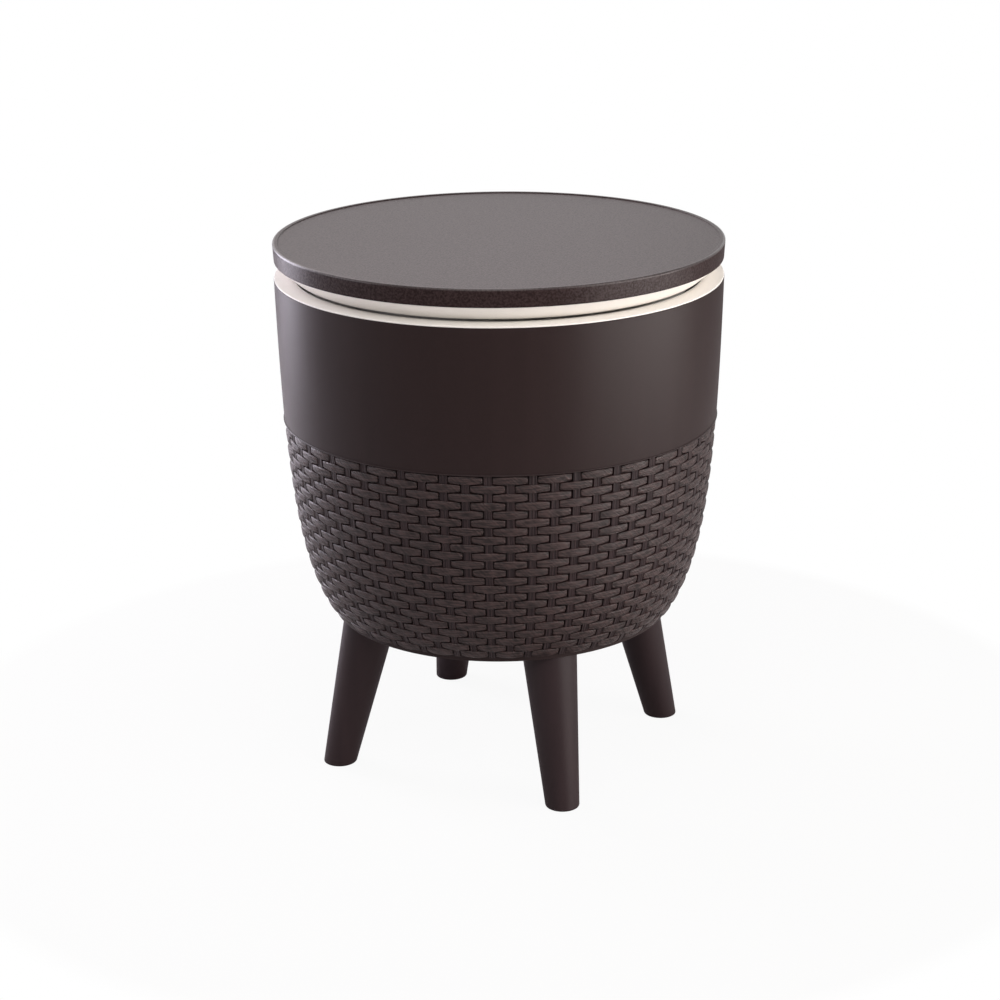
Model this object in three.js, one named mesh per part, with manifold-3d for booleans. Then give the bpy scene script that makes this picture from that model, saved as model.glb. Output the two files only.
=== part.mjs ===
// A round patio coffee table that is also an ice bucket. A bowl-shaped outer shell, a smooth band over
// a woven bowl, stands on four splayed legs. A pale ice bucket hangs in it by its rim. The tabletop is
// the bucket's lid: a pole through the middle lifts it to bar height, and a quarter turn locks it there
// on two pegs. A plug under the shell drains the melted ice.
// Millimetres, +Z up. The origin is on the floor at the centre of the table.

import * as THREE from 'three';
import { mergeVertices } from 'three/addons/utils/BufferGeometryUtils.js';
import Module from 'manifold-3d';

const wasm = await Module();
wasm.setup();

// Clearances and the number of flats round each kind of circle
const seatGap = 0.3; // between faces that rest on each other
const slidingGap = 0.3; // between a tube and the bush that guides it
const looseGap = 0.6; // round a piece that passes through a hole
const cutOverrun = 1; // how far a cutter runs past the face that it opens
const weldDepth = 1; // how far joined features of one moulding run into each other
const shellSteps = 60;
const bucketSteps = 44;
const tubeSteps = 24;
const legSteps = 20;
const drainSteps = 16;
const screwSteps = 8;
const curveHalvings = 40; // how often a search along the bowl's curve halves its range
const diagonalDegrees = 45; // the legs and most screws stand between the axes

// Outer shell
const legHeight = 172.3; // from the floor to the shell's lower edge
const shellHeight = 386.8;
const shellTopRadius = 248.4;
const shellBottomRadius = 191.8;
const shellWall = 3;
const shellFloorWall = 3;
const shellFloorRise = 5.7; // the floor's underside above the lower edge
const upperPullShare = 0.5365; // how the bowl's curve leaves its two ends, as shares of its size
const upperDrawShare = 0.0873;
const lowerPullShare = 0.1505;
const lowerFlareShare = 0.777;
const bandSteps = 2;
const bandInnerSteps = 1;
const bowlInnerSteps = 4;
const shellBottomRibWidth = 2.5;
const shellBottomRibCount = 8;
const shellHubRadius = 56; // ring under the floor that carries the pole
const shellHubWall = 3;

const bandHeight = 159.9; // smooth band between the shell's top and the weave
const bandProud = 0.8; // the band's lower edge stands this far out of the weave
const weaveRows = 23;
const weaveStakes = 64;
const firstStakeDegrees = 0.35; // from the X axis
const weaveDip = 1.8; // a strand dips this far where it passes behind a stake
const weaveFurrow = 1.8; // depth of the furrow between two rows
const weaveWall = 5; // the shell is thicker behind the weave
const weaveWallRise = 10; // the wall thins to shellWall over this height above the weave
const baseRingInset = 1.2; // the smooth ring under the weave, set in from the bowl's curve
const baseRingHeight = 5;
const baseRingWall = 1.8;

// Ice bucket
const flangeInset = 0.4; // the rim lies this far inside the shell's top edge
const flangeWidth = 22.6;
const flangeEdge = 1.5;
const flangeWall = 3;
const flangeRound = 1;
const mouthRound = 1.5;
const bucketWall = 2.5;
const underBucket = 92.4; // room under the bucket for the pole's socket and the drain
const bucketDraft = 18; // the inside is this much smaller at the floor than at the mouth
const bucketCorner = 30;
const bucketCornerSteps = 3;
const floorBossWidth = 8;
const floorBossHeight = 10;

// Legs
const legTopRadius = 30.9;
const legFootRadius = 18.9;
const legRingGap = 1.5; // from the leg's top to the ring that ends the shell
const footSplay = 42.9; // the foot stands this far outside the leg's top
const legWall = 3;
const legFootWall = 4;
const footRound = 2;
const legCount = 4;
const legWebWidth = 2.5;
const legWebHeight = 36;
const legBossRadius = 9;

// Screws: shank radius, shank length, head radius and head height
const legScrew = { shank: 3, length: 28, head: 8, rise: 4 };
const socketScrew = { shank: 1.8, length: 8.5, head: 3.8, rise: 2.4 };
const headScrew = { shank: 1.8, length: 14, head: 3.8, rise: 2.3 };
const linerScrew = { shank: 1.8, length: 14, head: 4.2, rise: 2.4 };
const crownShare = 0.7; // how wide a screw head's flat crown is
const screwBossWall = 3.4; // plastic round a screw's bore

// Lifting pole and its guide
const poleRadius = 15.5;
const poleWall = 3;
const guideAnnulus = 3; // from the pole to the guide tube's bore
const guideWall = 2.5;
const guideKeyWidth = 5;
const guideKeyRise = 1.2;
const poleOverlap = 56.8; // pole left under its lower slot when the pegs hold it up
const neckDepth = 1.4; // the pole's end is turned down to carry the foot bush
const footBushHeight = 25;
const footPlugFlange = 3;
const footPlugSpigot = 18;
const footPlugRim = 1.2;
const footClearance = 12; // from the socket's floor to the foot plug with the table down

// Socket that carries the guide tube
const socketFlangeRadius = 48;
const socketFlangeWall = 4;
const socketWall = 4;
const socketHeight = 40;
const socketScrewReach = 40;
const socketScrewCount = 4;
const socketRibWidth = 3;
const crossPinRadius = 2.5;
const socketPinRise = 7; // the pin's centre above the socket's floor

// Collar with the two locking pegs
const collarRadius = 30;
const collarHeight = 10;
const collarSkirt = 22;
const collarSkirtWall = 3.5;
const collarRound = 1.5;
const pegRadius = 3;
const pegReach = 2.6; // how far a peg stands into the pole's wall
const pegCount = 2;
const pegDegrees = 90; // the pegs stand on the Y axis with the table down
const lockTurnDegrees = 90;

// Seal where the guide tube passes the bucket's floor
const sealHeight = 3;
const sealWidth = 5;
const sealCapWall = 2.5;
const sealCapSkirt = 9;

// Tabletop
const tabletopOverhang = 0.6; // past the shell's top edge
const tabletopSkirt = 19.6;
const tabletopWall = 3;
const tabletopDraft = 1.2;
const lipRise = 1.2;
const lipWidth = 5.5;
const lipRound = 1.2;
const ribCount = 8;
const ribWidth = 2;
const ribHeight = 8;
const ribRingRadius = 120;

// Lid liner under the tabletop
const lidGap = 2.6; // the dark gap between the liner and the bucket's rim
const linerConeHeight = 16.6;
const linerInset = 0.9; // the liner's top edge inside the tabletop's skirt
const linerConeOverMouth = 0.9; // the cone ends this far outside the bucket's mouth
const linerWall = 2.5;
const linerUpstand = 9;
const linerSideGap = 1; // from the upstand to the tabletop's skirt
const plugInset = 15; // from the bucket's mouth to the plug that hangs in it
const plugDepth = 14.5;
const plugRound = 2;
const linerScrewInset = 18; // the liner's screws inside the plug's edge
const linerScrewCount = 4;

// Head that joins the pole to the tabletop
const headWall = 7;
const headFlangeReach = 30; // the flange outside the hub
const headFlangeWall = 4;
const headFlangeRise = 3.5; // the flange above the liner's floor
const headHubDrop = 1; // the hub hangs this far below the liner
const headScrewCount = 4;
const headScrewShare = 2 / 3; // where the screws stand, as a share of the flange's reach
const headPinRise = 15; // the pin's centre above the flange
const socketDepthShare = 0.85; // the share of the head's height that the pole's bore takes

// Drain
const drainFloorMargin = 7.4; // from the drain's flange to the corner of the bucket
const drainRingMargin = 30; // from the drain's centre to the ring that ends the shell
const drainTubeRadius = 12;
const drainTubeWall = 2.5;
const drainFlangeRadius = 20;
const drainFlangeWall = 2.5;
const drainNutRadius = 19;
const drainNutHeight = 9;
const drainNutSides = 6;
const drainDrop = 2; // the tube's end below the shell's floor
const plugSpigotHeight = 16;
const plugSpigotShare = 0.35; // the share of its radius that the spigot's lead-in takes off
const plugFlangeWall = 3;
const plugSealHeight = 1.5;
const plugGripHeight = 8;
const plugGripWidth = 4;

// Colours and finishes
const darkPlastic = { color: 0x4a403c, roughness: 0.55, metalness: 0 };
const palePlastic = { color: 0xece3d8, roughness: 0.45, metalness: 0 };
const polePlastic = { color: 0x413936, roughness: 0.4, metalness: 0 };
const blackRubber = { color: 0x1c1b1a, roughness: 0.85, metalness: 0 };
const screwSteel = { color: 0xb9bbbd, roughness: 0.35, metalness: 0.9 };

// Heights of the main faces, from the floor up
const shellTop = legHeight + shellHeight;
const shellFloorUnder = legHeight + shellFloorRise;
const shellFloorTop = shellFloorUnder + shellFloorWall;
const weaveTop = shellTop - bandHeight;
const weaveUnder = legHeight + baseRingHeight;
const rimTop = shellTop + seatGap + flangeEdge;
const bucketFloorUnder = shellFloorTop + underBucket;
const bucketFloorTop = bucketFloorUnder + bucketWall;
const linerEdge = rimTop + lidGap;
const skirtBottom = linerEdge + linerConeHeight + seatGap;
const tableHeight = skirtBottom + tabletopSkirt;
const deckTop = tableHeight - lipRise;
const deckUnder = deckTop - tabletopWall;
const linerFloorUnder = linerEdge - plugDepth;
const linerFloorTop = linerFloorUnder + linerWall;
const socketFloorTop = shellFloorTop + seatGap + socketFlangeWall;
const socketPinHeight = socketFloorTop + socketPinRise;
const headUnder = linerFloorUnder - headHubDrop;
const headTop = deckUnder - seatGap;
const headSocketTop = headUnder + (headTop - headUnder) * socketDepthShare;
const headFlangeUnder = linerFloorTop + headFlangeRise;
const headFlangeTop = headFlangeUnder + headFlangeWall;
const headPinHeight = headFlangeTop + headPinRise;
const collarTop = headUnder - seatGap;
const collarUnder = collarTop - collarHeight;
const pegHeight = (collarTop + collarUnder) / 2;

// Radii that follow from those above
const flangeRadius = shellTopRadius - flangeInset;
const mouthRadius = flangeRadius - flangeWidth;
const tabletopRadius = shellTopRadius + tabletopOverhang;
const skirtBottomRadius = tabletopRadius - tabletopDraft;
const linerEdgeRadius = mouthRadius + linerConeOverMouth;
const plugRadius = mouthRadius - plugInset;
const linerScrewReach = plugRadius - linerScrewInset;
const linerUpstandReach = linerSideGap + linerWall + looseGap;
const poleBore = poleRadius - poleWall;
const guideBore = poleRadius + guideAnnulus;
const guideRadius = guideBore + guideWall;
const socketBore = guideRadius + slidingGap;
const headRadius = poleRadius + headWall;
const headScrewReach = headRadius + headFlangeReach * headScrewShare;
const baseRadius = shellBottomRadius - baseRingInset;
const bucketFloorRadius = mouthRadius - bucketDraft;
const legTopReach = baseRadius - baseRingWall - legRingGap - legTopRadius;
const footReach = legTopReach + footSplay;
const drainReach = Math.min(
  bucketFloorRadius - bucketCorner - drainFlangeRadius - drainFloorMargin,
  baseRadius - baseRingWall - drainRingMargin,
);

// The pole's end in the guide tube, and how far the pegs let the pole rise
const footPlugUnder = socketFloorTop + footClearance;
const poleBottom = footPlugUnder + footPlugFlange + seatGap;
const neckTop = poleBottom + footBushHeight + seatGap;
const raiseTravel = pegHeight - neckTop - poleOverlap;

// Solid modelling helpers

/** Merges equal corners and leaves out the faces that this closes up, as at a pole or a seam. */
function weld(geometry) {
  const bare = geometry.clone();
  bare.deleteAttribute('normal');
  bare.deleteAttribute('uv');
  const merged = mergeVertices(bare);
  const corners = Array.from(merged.getIndex().array);
  const kept = [];
  for (let first = 0; first < corners.length; first += 3) {
    const face = corners.slice(first, first + 3);
    if (new Set(face).size === 3) kept.push(...face);
  }
  merged.setIndex(kept);
  return merged;
}

function toSolid(geometry) {
  const welded = weld(geometry);
  const mesh = new wasm.Mesh({
    numProp: 3,
    vertProperties: new Float32Array(welded.getAttribute('position').array),
    triVerts: new Uint32Array(welded.getIndex().array),
  });
  return new wasm.Manifold(mesh);
}

function toGeometry(solid) {
  const mesh = solid.getMesh();
  const geometry = new THREE.BufferGeometry();
  geometry.setAttribute('position', new THREE.BufferAttribute(mesh.vertProperties, 3));
  geometry.setIndex(new THREE.BufferAttribute(mesh.triVerts, 1));
  geometry.computeVertexNormals();
  return geometry;
}

/** Joins the geometries in added, takes the ones in cut away, and returns one geometry. */
function combine(added, cut = []) {
  let solid = toSolid(added[0]);
  for (const geometry of added.slice(1)) solid = solid.add(toSolid(geometry));
  for (const geometry of cut) solid = solid.subtract(toSolid(geometry));
  return toGeometry(solid);
}

function common(first, second) {
  return toGeometry(toSolid(first).intersect(toSolid(second)));
}

/** Revolves [radius, height] points, listed anticlockwise from axis to axis, about Z. */
function revolve(profile, steps) {
  const points = profile.map(([radius, height]) => new THREE.Vector2(radius, height));
  return new THREE.LatheGeometry(points, steps).rotateX(Math.PI / 2);
}

/** Revolves a profile that has a hole round the axis and closes on itself. */
function revolveRing(profile, steps) {
  return revolve([...profile, profile[0]], steps);
}

function ring(inner, outer, bottom, top, steps) {
  return revolveRing([[inner, bottom], [outer, bottom], [outer, top], [inner, top]], steps);
}

function disc(radius, bottom, top, steps) {
  return revolve([[0, bottom], [radius, bottom], [radius, top], [0, top]], steps);
}

/** A box that stands on bottom, reaches along X from near to far and is centred on Y. */
function bar(near, far, width, bottom, top) {
  const box = new THREE.BoxGeometry(far - near, width, top - bottom);
  return box.translate((near + far) / 2, 0, (bottom + top) / 2);
}

/** Points of a circular arc, both ends included; angles in degrees, anticlockwise from +X. */
function arcPoints(centreX, centreY, radius, from, to, steps) {
  return Array.from({ length: steps + 1 }, (_, i) => {
    const angle = THREE.MathUtils.degToRad(from + ((to - from) * i) / steps);
    return [centreX + radius * Math.cos(angle), centreY + radius * Math.sin(angle)];
  });
}

/** Copies of a geometry turned about Z, count in a full circle, the first one at offset degrees. */
function around(geometry, count, offset = 0) {
  return Array.from({ length: count }, (_, i) => {
    const angle = THREE.MathUtils.degToRad(offset + (360 * i) / count);
    return geometry.clone().rotateZ(angle);
  });
}

const table = new THREE.Group();

function place(name, geometry, finish) {
  const mesh = new THREE.Mesh(geometry, new THREE.MeshStandardMaterial(finish));
  mesh.name = name;
  table.add(mesh);
  return mesh;
}

// Outer shell: one moulding with the smooth band, the bowl, the floor and the ribs under it
const shellCurve = new THREE.CubicBezierCurve(
  new THREE.Vector2(shellTopRadius, shellTop),
  new THREE.Vector2(
    shellTopRadius - (shellTopRadius - shellBottomRadius) * upperDrawShare,
    shellTop - shellHeight * upperPullShare,
  ),
  new THREE.Vector2(
    shellBottomRadius + (shellTopRadius - shellBottomRadius) * lowerFlareShare,
    legHeight + shellHeight * lowerPullShare,
  ),
  new THREE.Vector2(shellBottomRadius, legHeight),
);

/** Outer radius of the shell at a height, found by halving the curve's range. */
function shellRadiusAt(height) {
  let above = 0;
  let below = 1;
  for (let i = 0; i < curveHalvings; i += 1) {
    const middle = (above + below) / 2;
    if (shellCurve.getPoint(middle).y > height) above = middle;
    else below = middle;
  }
  return shellCurve.getPoint((above + below) / 2).x;
}

/** Points on the shell's outside, or inside by an inset, at even steps between two heights. */
function shellPoints(from, to, steps, inset) {
  return Array.from({ length: steps + 1 }, (_, step) => {
    const height = from + ((to - from) * step) / steps;
    return [shellRadiusAt(height) - inset, height];
  });
}

/**
 * The woven bowl as a solid drum. In each row a strand reaches out to the bowl's curve over every
 * other stake and dips behind the stakes between them, and each row is one stake out of step with the
 * row below. A furrow between two rows has a corner at every other stake.
 */
function makeWeave() {
  const corners = [];
  const faces = [];

  /** A line of corners round the bowl, as their numbers by stake; a stake without an inset has none. */
  function lineAt(height, insetAt) {
    return Array.from({ length: weaveStakes }, (_, stake) => {
      const inset = insetAt(stake);
      if (inset === null) return null;
      const angle = THREE.MathUtils.degToRad(firstStakeDegrees + (360 * stake) / weaveStakes);
      const radius = shellRadiusAt(height) - inset;
      return corners.push([radius * Math.cos(angle), radius * Math.sin(angle), height]) - 1;
    });
  }

  /** Adds the faces that facesAt lists for each furrow corner, turned over above a strand. */
  function addFaces(furrow, isAbove, facesAt) {
    for (let stake = furrow[0] === null ? 1 : 0; stake < weaveStakes; stake += 2) {
      const found = facesAt(stake, stake + 1, (stake + 2) % weaveStakes);
      faces.push(...(isAbove ? found.map((face) => face.reverse()) : found));
    }
  }

  function joinStrand(strand, furrow, isAbove) {
    addFaces(furrow, isAbove, (here, middle, next) => {
      const top = strand[middle % weaveStakes];
      return [
        [furrow[here], top, strand[here]],
        [furrow[here], furrow[next], top],
        [furrow[next], strand[next], top],
      ];
    });
  }

  function closeEnd(furrow, height, isAbove) {
    const centre = corners.push([0, 0, height]) - 1;
    addFaces(furrow, isAbove, (here, _, next) => [[centre, furrow[next], furrow[here]]]);
  }

  const rowHeight = (weaveTop - weaveUnder) / weaveRows;
  const furrows = Array.from({ length: weaveRows + 1 }, (_, row) => {
    const height = row === weaveRows ? weaveTop + weldDepth : weaveUnder + row * rowHeight;
    return lineAt(height, (stake) => ((row + stake) % 2 ? null : weaveFurrow));
  });
  for (let row = 0; row < weaveRows; row += 1) {
    const middle = weaveUnder + (row + 1 / 2) * rowHeight;
    const strand = lineAt(middle, (stake) => ((row + stake) % 2 ? 0 : weaveDip));
    joinStrand(strand, furrows[row], false);
    joinStrand(strand, furrows[row + 1], true);
  }
  closeEnd(furrows[0], weaveUnder, false);
  closeEnd(furrows[weaveRows], weaveTop + weldDepth, true);

  const geometry = new THREE.BufferGeometry();
  geometry.setAttribute('position', new THREE.Float32BufferAttribute(corners.flat(), 3));
  geometry.setIndex(faces.flat());
  return geometry;
}

function makeOuterShell() {
  const band = revolve([
    [0, weaveTop],
    [shellRadiusAt(weaveTop) + bandProud, weaveTop],
    ...shellPoints(weaveTop, shellTop, bandSteps, 0).slice(1),
    [0, shellTop],
  ], shellSteps);
  const inside = revolve([
    [0, shellFloorTop],
    ...shellPoints(shellFloorTop, weaveTop, bowlInnerSteps, weaveWall),
    ...shellPoints(weaveTop + weaveWallRise, shellTop, bandInnerSteps, shellWall),
    [shellTopRadius - shellWall, shellTop + cutOverrun],
    [0, shellTop + cutOverrun],
  ], bucketSteps);
  const under = disc(
    baseRadius - baseRingWall,
    legHeight - cutOverrun,
    shellFloorUnder,
    shellSteps,
  );
  const base = disc(baseRadius, legHeight, weaveUnder + weldDepth, shellSteps);
  const bowl = combine([makeWeave(), base, band], [inside, under]);
  const ribs = around(
    bar(
      shellHubRadius - weldDepth,
      baseRadius - weldDepth,
      shellBottomRibWidth,
      legHeight,
      shellFloorUnder + weldDepth,
    ),
    shellBottomRibCount,
    180 / shellBottomRibCount,
  );
  const hub = ring(
    shellHubRadius - shellHubWall,
    shellHubRadius,
    legHeight,
    shellFloorUnder + weldDepth,
    tubeSteps,
  );
  const screwBoss = disc(
    socketScrew.shank + screwBossWall,
    legHeight,
    shellFloorUnder + weldDepth,
    screwSteps,
  );
  const screwBosses = around(screwBoss.translate(socketScrewReach, 0, 0), socketScrewCount, diagonalDegrees);
  const socketBoreCut = disc(
    socketScrew.shank + slidingGap,
    socketFloorTop - socketScrew.length - slidingGap,
    shellFloorTop + cutOverrun,
    screwSteps,
  );
  const legBoreCut = disc(
    legScrew.shank + slidingGap,
    shellFloorUnder - cutOverrun,
    shellFloorTop + cutOverrun,
    screwSteps,
  );
  const drainCut = disc(
    drainTubeRadius + looseGap,
    shellFloorUnder - cutOverrun,
    shellFloorTop + cutOverrun,
    drainSteps,
  );
  return combine(
    [bowl, ...ribs, hub, ...screwBosses],
    [
      ...around(socketBoreCut.translate(socketScrewReach, 0, 0), socketScrewCount, diagonalDegrees),
      ...around(legBoreCut.translate(legTopReach, 0, 0), legCount, diagonalDegrees),
      drainCut.translate(0, drainReach, 0),
    ],
  );
}

place('outer_shell', makeOuterShell(), darkPlastic);

// Ice bucket: a drafted tub that hangs in the shell by its rim
function makeIceBucket() {
  const flangeUnder = rimTop - flangeWall;
  const locating = shellTopRadius - shellWall - looseGap;
  const holeRadius = guideRadius + looseGap;
  const bossRadius = holeRadius + floorBossWidth;
  const outerCorner = bucketCorner + bucketWall;
  const outside = [
    [holeRadius, bucketFloorUnder],
    ...arcPoints(
      bucketFloorRadius - bucketCorner,
      bucketFloorTop + bucketCorner,
      outerCorner,
      -90,
      0,
      bucketCornerSteps,
    ),
    [mouthRadius + bucketWall, flangeUnder],
    [locating, flangeUnder],
    [locating, rimTop - flangeEdge],
    [flangeRadius, rimTop - flangeEdge],
    [flangeRadius, rimTop - flangeRound],
    [flangeRadius - flangeRound, rimTop],
  ];
  const inside = [
    [mouthRadius + mouthRound, rimTop],
    [mouthRadius, rimTop - mouthRound],
    ...arcPoints(
      bucketFloorRadius - bucketCorner,
      bucketFloorTop + bucketCorner,
      bucketCorner,
      0,
      -90,
      bucketCornerSteps,
    ),
    [bossRadius, bucketFloorTop],
    [bossRadius, bucketFloorTop + floorBossHeight],
    [holeRadius, bucketFloorTop + floorBossHeight],
  ];
  const drainCut = disc(
    drainTubeRadius + looseGap,
    bucketFloorUnder - cutOverrun,
    bucketFloorTop + cutOverrun,
    drainSteps,
  );
  return combine(
    [revolveRing([...outside, ...inside], bucketSteps)],
    [drainCut.translate(0, drainReach, 0)],
  );
}

place('ice_bucket', makeIceBucket(), palePlastic);

// Legs: hollow tapers, sheared outwards so that the foot lies flat, with a screw boss at the top
function makeLeg() {
  const top = shellFloorUnder - seatGap;
  const lean = footSplay / top;
  const shear = new THREE.Matrix4().makeShear(0, 0, 0, 0, -lean, 0);
  const taper = (height, inset) => {
    const share = height / top;
    return legFootRadius + (legTopRadius - legFootRadius) * share - inset;
  };
  const outer = revolve([
    [0, 0],
    [legFootRadius - footRound, 0],
    [legFootRadius, footRound],
    [legTopRadius, top],
    [0, top],
  ], legSteps).applyMatrix4(shear);
  const inner = revolve([
    [0, legFootWall],
    [taper(legFootWall, legWall), legFootWall],
    [taper(top + cutOverrun, legWall), top + cutOverrun],
    [0, top + cutOverrun],
  ], legSteps).applyMatrix4(shear);
  const shellOnly = combine([outer], [inner]);
  const reach = legTopRadius + footSplay;
  const web = bar(-reach, reach, legWebWidth, top - legWebHeight, top);
  const crossWeb = web.clone().rotateZ(Math.PI / 2);
  const boss = disc(legBossRadius, top - legWebHeight, top, screwSteps);
  const stiffening = common(combine([web, crossWeb, boss]).translate(-footSplay, 0, 0), outer);
  const bore = disc(
    legScrew.shank + slidingGap,
    shellFloorTop - legScrew.length - slidingGap,
    top + cutOverrun,
    screwSteps,
  ).translate(-footSplay, 0, 0);
  return combine([shellOnly, stiffening], [bore]);
}

/** A pan-head screw that hangs below the origin, its head's seat at height zero. */
function makeScrew({ shank, length, head, rise }) {
  return revolve([
    [0, -length],
    [shank, -length],
    [shank, 0],
    [head, 0],
    [head * crownShare, rise],
    [0, rise],
  ], screwSteps);
}

for (let i = 0; i < legCount; i += 1) {
  const stand = new THREE.Group();
  stand.rotation.z = THREE.MathUtils.degToRad(diagonalDegrees + (360 * i) / legCount);
  table.add(stand);
  const leg = place(`leg_${i + 1}`, makeLeg(), darkPlastic);
  leg.position.x = footReach;
  const screw = place(`leg_screw_${i + 1}`, makeScrew(legScrew), screwSteel);
  screw.position.set(legTopReach, 0, shellFloorTop + seatGap);
  stand.add(leg, screw);
}

// Socket on the shell's floor, the guide tube that stands in it, and the pin through both
function makeTubeSocket() {
  const bottom = shellFloorTop + seatGap;
  const outer = socketBore + socketWall;
  const cup = revolve([
    [0, bottom],
    [socketFlangeRadius, bottom],
    [socketFlangeRadius, socketFloorTop],
    [outer, socketFloorTop],
    [outer, bottom + socketHeight],
    [socketBore, bottom + socketHeight],
    [socketBore, socketFloorTop],
    [0, socketFloorTop],
  ], tubeSteps);
  const gusset = new THREE.Shape();
  gusset.moveTo(outer - weldDepth, socketFloorTop - weldDepth);
  gusset.lineTo(socketFlangeRadius - weldDepth, socketFloorTop - weldDepth);
  gusset.lineTo(outer - weldDepth, bottom + socketHeight - weldDepth);
  const rib = new THREE.ExtrudeGeometry(gusset, { depth: socketRibWidth, bevelEnabled: false })
    .translate(0, 0, -socketRibWidth / 2)
    .rotateX(Math.PI / 2);
  const screwCut = disc(
    socketScrew.shank + slidingGap,
    bottom - cutOverrun,
    socketFloorTop + cutOverrun,
    screwSteps,
  );
  return combine(
    [cup, ...around(rib, socketScrewCount)],
    [
      ...around(screwCut.translate(socketScrewReach, 0, 0), socketScrewCount, diagonalDegrees),
      crossPinCut(socketPinHeight),
    ],
  );
}

function crossPin(radius, length, height) {
  return new THREE.CylinderGeometry(radius, radius, length, screwSteps)
    .rotateZ(Math.PI / 2)
    .translate(0, 0, height);
}

function crossPinCut(height) {
  const length = 2 * (socketFlangeRadius + cutOverrun);
  return crossPin(crossPinRadius + slidingGap, length, height);
}

/** The guide tube is an extruded pipe with two keys along its bore that stop the bush turning. */
function makeGuideTube() {
  const bottom = socketFloorTop + seatGap;
  const top = collarUnder - seatGap;
  const section = new THREE.Shape().absarc(0, 0, guideRadius, 0, 2 * Math.PI, false);
  const keyAngle = Math.asin(guideKeyWidth / 2 / guideBore);
  const bore = new THREE.Path();
  const keyBase = Math.sqrt((guideBore - guideKeyRise) ** 2 - (guideKeyWidth / 2) ** 2);
  bore.moveTo(keyBase, guideKeyWidth / 2);
  bore.absarc(0, 0, guideBore, keyAngle, Math.PI - keyAngle, false);
  bore.lineTo(-keyBase, guideKeyWidth / 2);
  bore.lineTo(-keyBase, -guideKeyWidth / 2);
  bore.absarc(0, 0, guideBore, Math.PI + keyAngle, 2 * Math.PI - keyAngle, false);
  bore.lineTo(keyBase, -guideKeyWidth / 2);
  bore.closePath();
  section.holes.push(bore);
  const pipe = new THREE.ExtrudeGeometry(section, {
    depth: top - bottom,
    bevelEnabled: false,
    curveSegments: tubeSteps / 2,
  });
  return combine([pipe.translate(0, 0, bottom)], [crossPinCut(socketPinHeight)]);
}

place('tube_socket', makeTubeSocket(), darkPlastic);
place('guide_tube', makeGuideTube(), polePlastic);
place(
  'socket_pin',
  crossPin(crossPinRadius, 2 * (socketBore + socketWall), socketPinHeight),
  screwSteel,
);
for (let i = 0; i < socketScrewCount; i += 1) {
  const turned = new THREE.Group();
  turned.rotation.z = THREE.MathUtils.degToRad(diagonalDegrees + (360 * i) / socketScrewCount);
  table.add(turned);
  const screw = place(`socket_screw_${i + 1}`, makeScrew(socketScrew), screwSteel);
  screw.position.set(socketScrewReach, 0, socketFloorTop + seatGap);
  turned.add(screw);
}

// Seal and cap where the guide tube passes the bucket's floor
const bossTop = bucketFloorTop + floorBossHeight;
const bossRadius = guideRadius + looseGap + floorBossWidth;
place('pole_seal', ring(
  guideRadius + slidingGap,
  guideRadius + slidingGap + sealWidth,
  bossTop + seatGap,
  bossTop + seatGap + sealHeight,
  tubeSteps,
), blackRubber);

function makeSealCap() {
  const under = bossTop + 2 * seatGap + sealHeight;
  return revolveRing([
    [bossRadius + looseGap, bossTop - sealCapSkirt],
    [bossRadius + looseGap + sealCapWall, bossTop - sealCapSkirt],
    [bossRadius + looseGap + sealCapWall, under],
    [bossRadius + looseGap, under + sealCapWall],
    [guideRadius + slidingGap, under + sealCapWall],
    [guideRadius + slidingGap, under],
    [bossRadius + looseGap, under],
  ], tubeSteps);
}

place('seal_cap', makeSealCap(), palePlastic);

// Collar on top of the guide tube, with the pegs that run in the pole's slots
function makeGuideCollar() {
  const body = revolveRing([
    [poleRadius + slidingGap, collarUnder],
    [guideRadius + slidingGap, collarUnder],
    [guideRadius + slidingGap, collarUnder - collarSkirt],
    [guideRadius + slidingGap + collarSkirtWall, collarUnder - collarSkirt],
    [guideRadius + slidingGap + collarSkirtWall, collarUnder],
    [collarRadius, collarUnder],
    [collarRadius, collarTop - collarRound],
    [collarRadius - collarRound, collarTop],
    [poleRadius + slidingGap, collarTop],
  ], tubeSteps);
  const near = poleRadius - pegReach;
  const far = poleRadius + slidingGap + weldDepth;
  const peg = new THREE.CylinderGeometry(pegRadius, pegRadius, far - near, screwSteps)
    .rotateZ(Math.PI / 2)
    .translate((near + far) / 2, 0, pegHeight);
  return combine([body, ...around(peg, pegCount, pegDegrees)]);
}

place('guide_collar', makeGuideCollar(), polePlastic);

// Foot bush: slides in the guide tube without turning, and the pole turns in it
function makeFootBush() {
  const sleeve = ring(
    poleRadius - neckDepth + slidingGap,
    guideBore - slidingGap,
    poleBottom,
    poleBottom + footBushHeight,
    tubeSteps,
  );
  const keyway = bar(
    guideBore - guideKeyRise - 2 * slidingGap,
    guideBore + cutOverrun,
    guideKeyWidth + 2 * slidingGap,
    poleBottom - cutOverrun,
    poleBottom + footBushHeight + cutOverrun,
  );
  return combine([sleeve], around(keyway, 2));
}

place('foot_bush', makeFootBush(), palePlastic);

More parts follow.
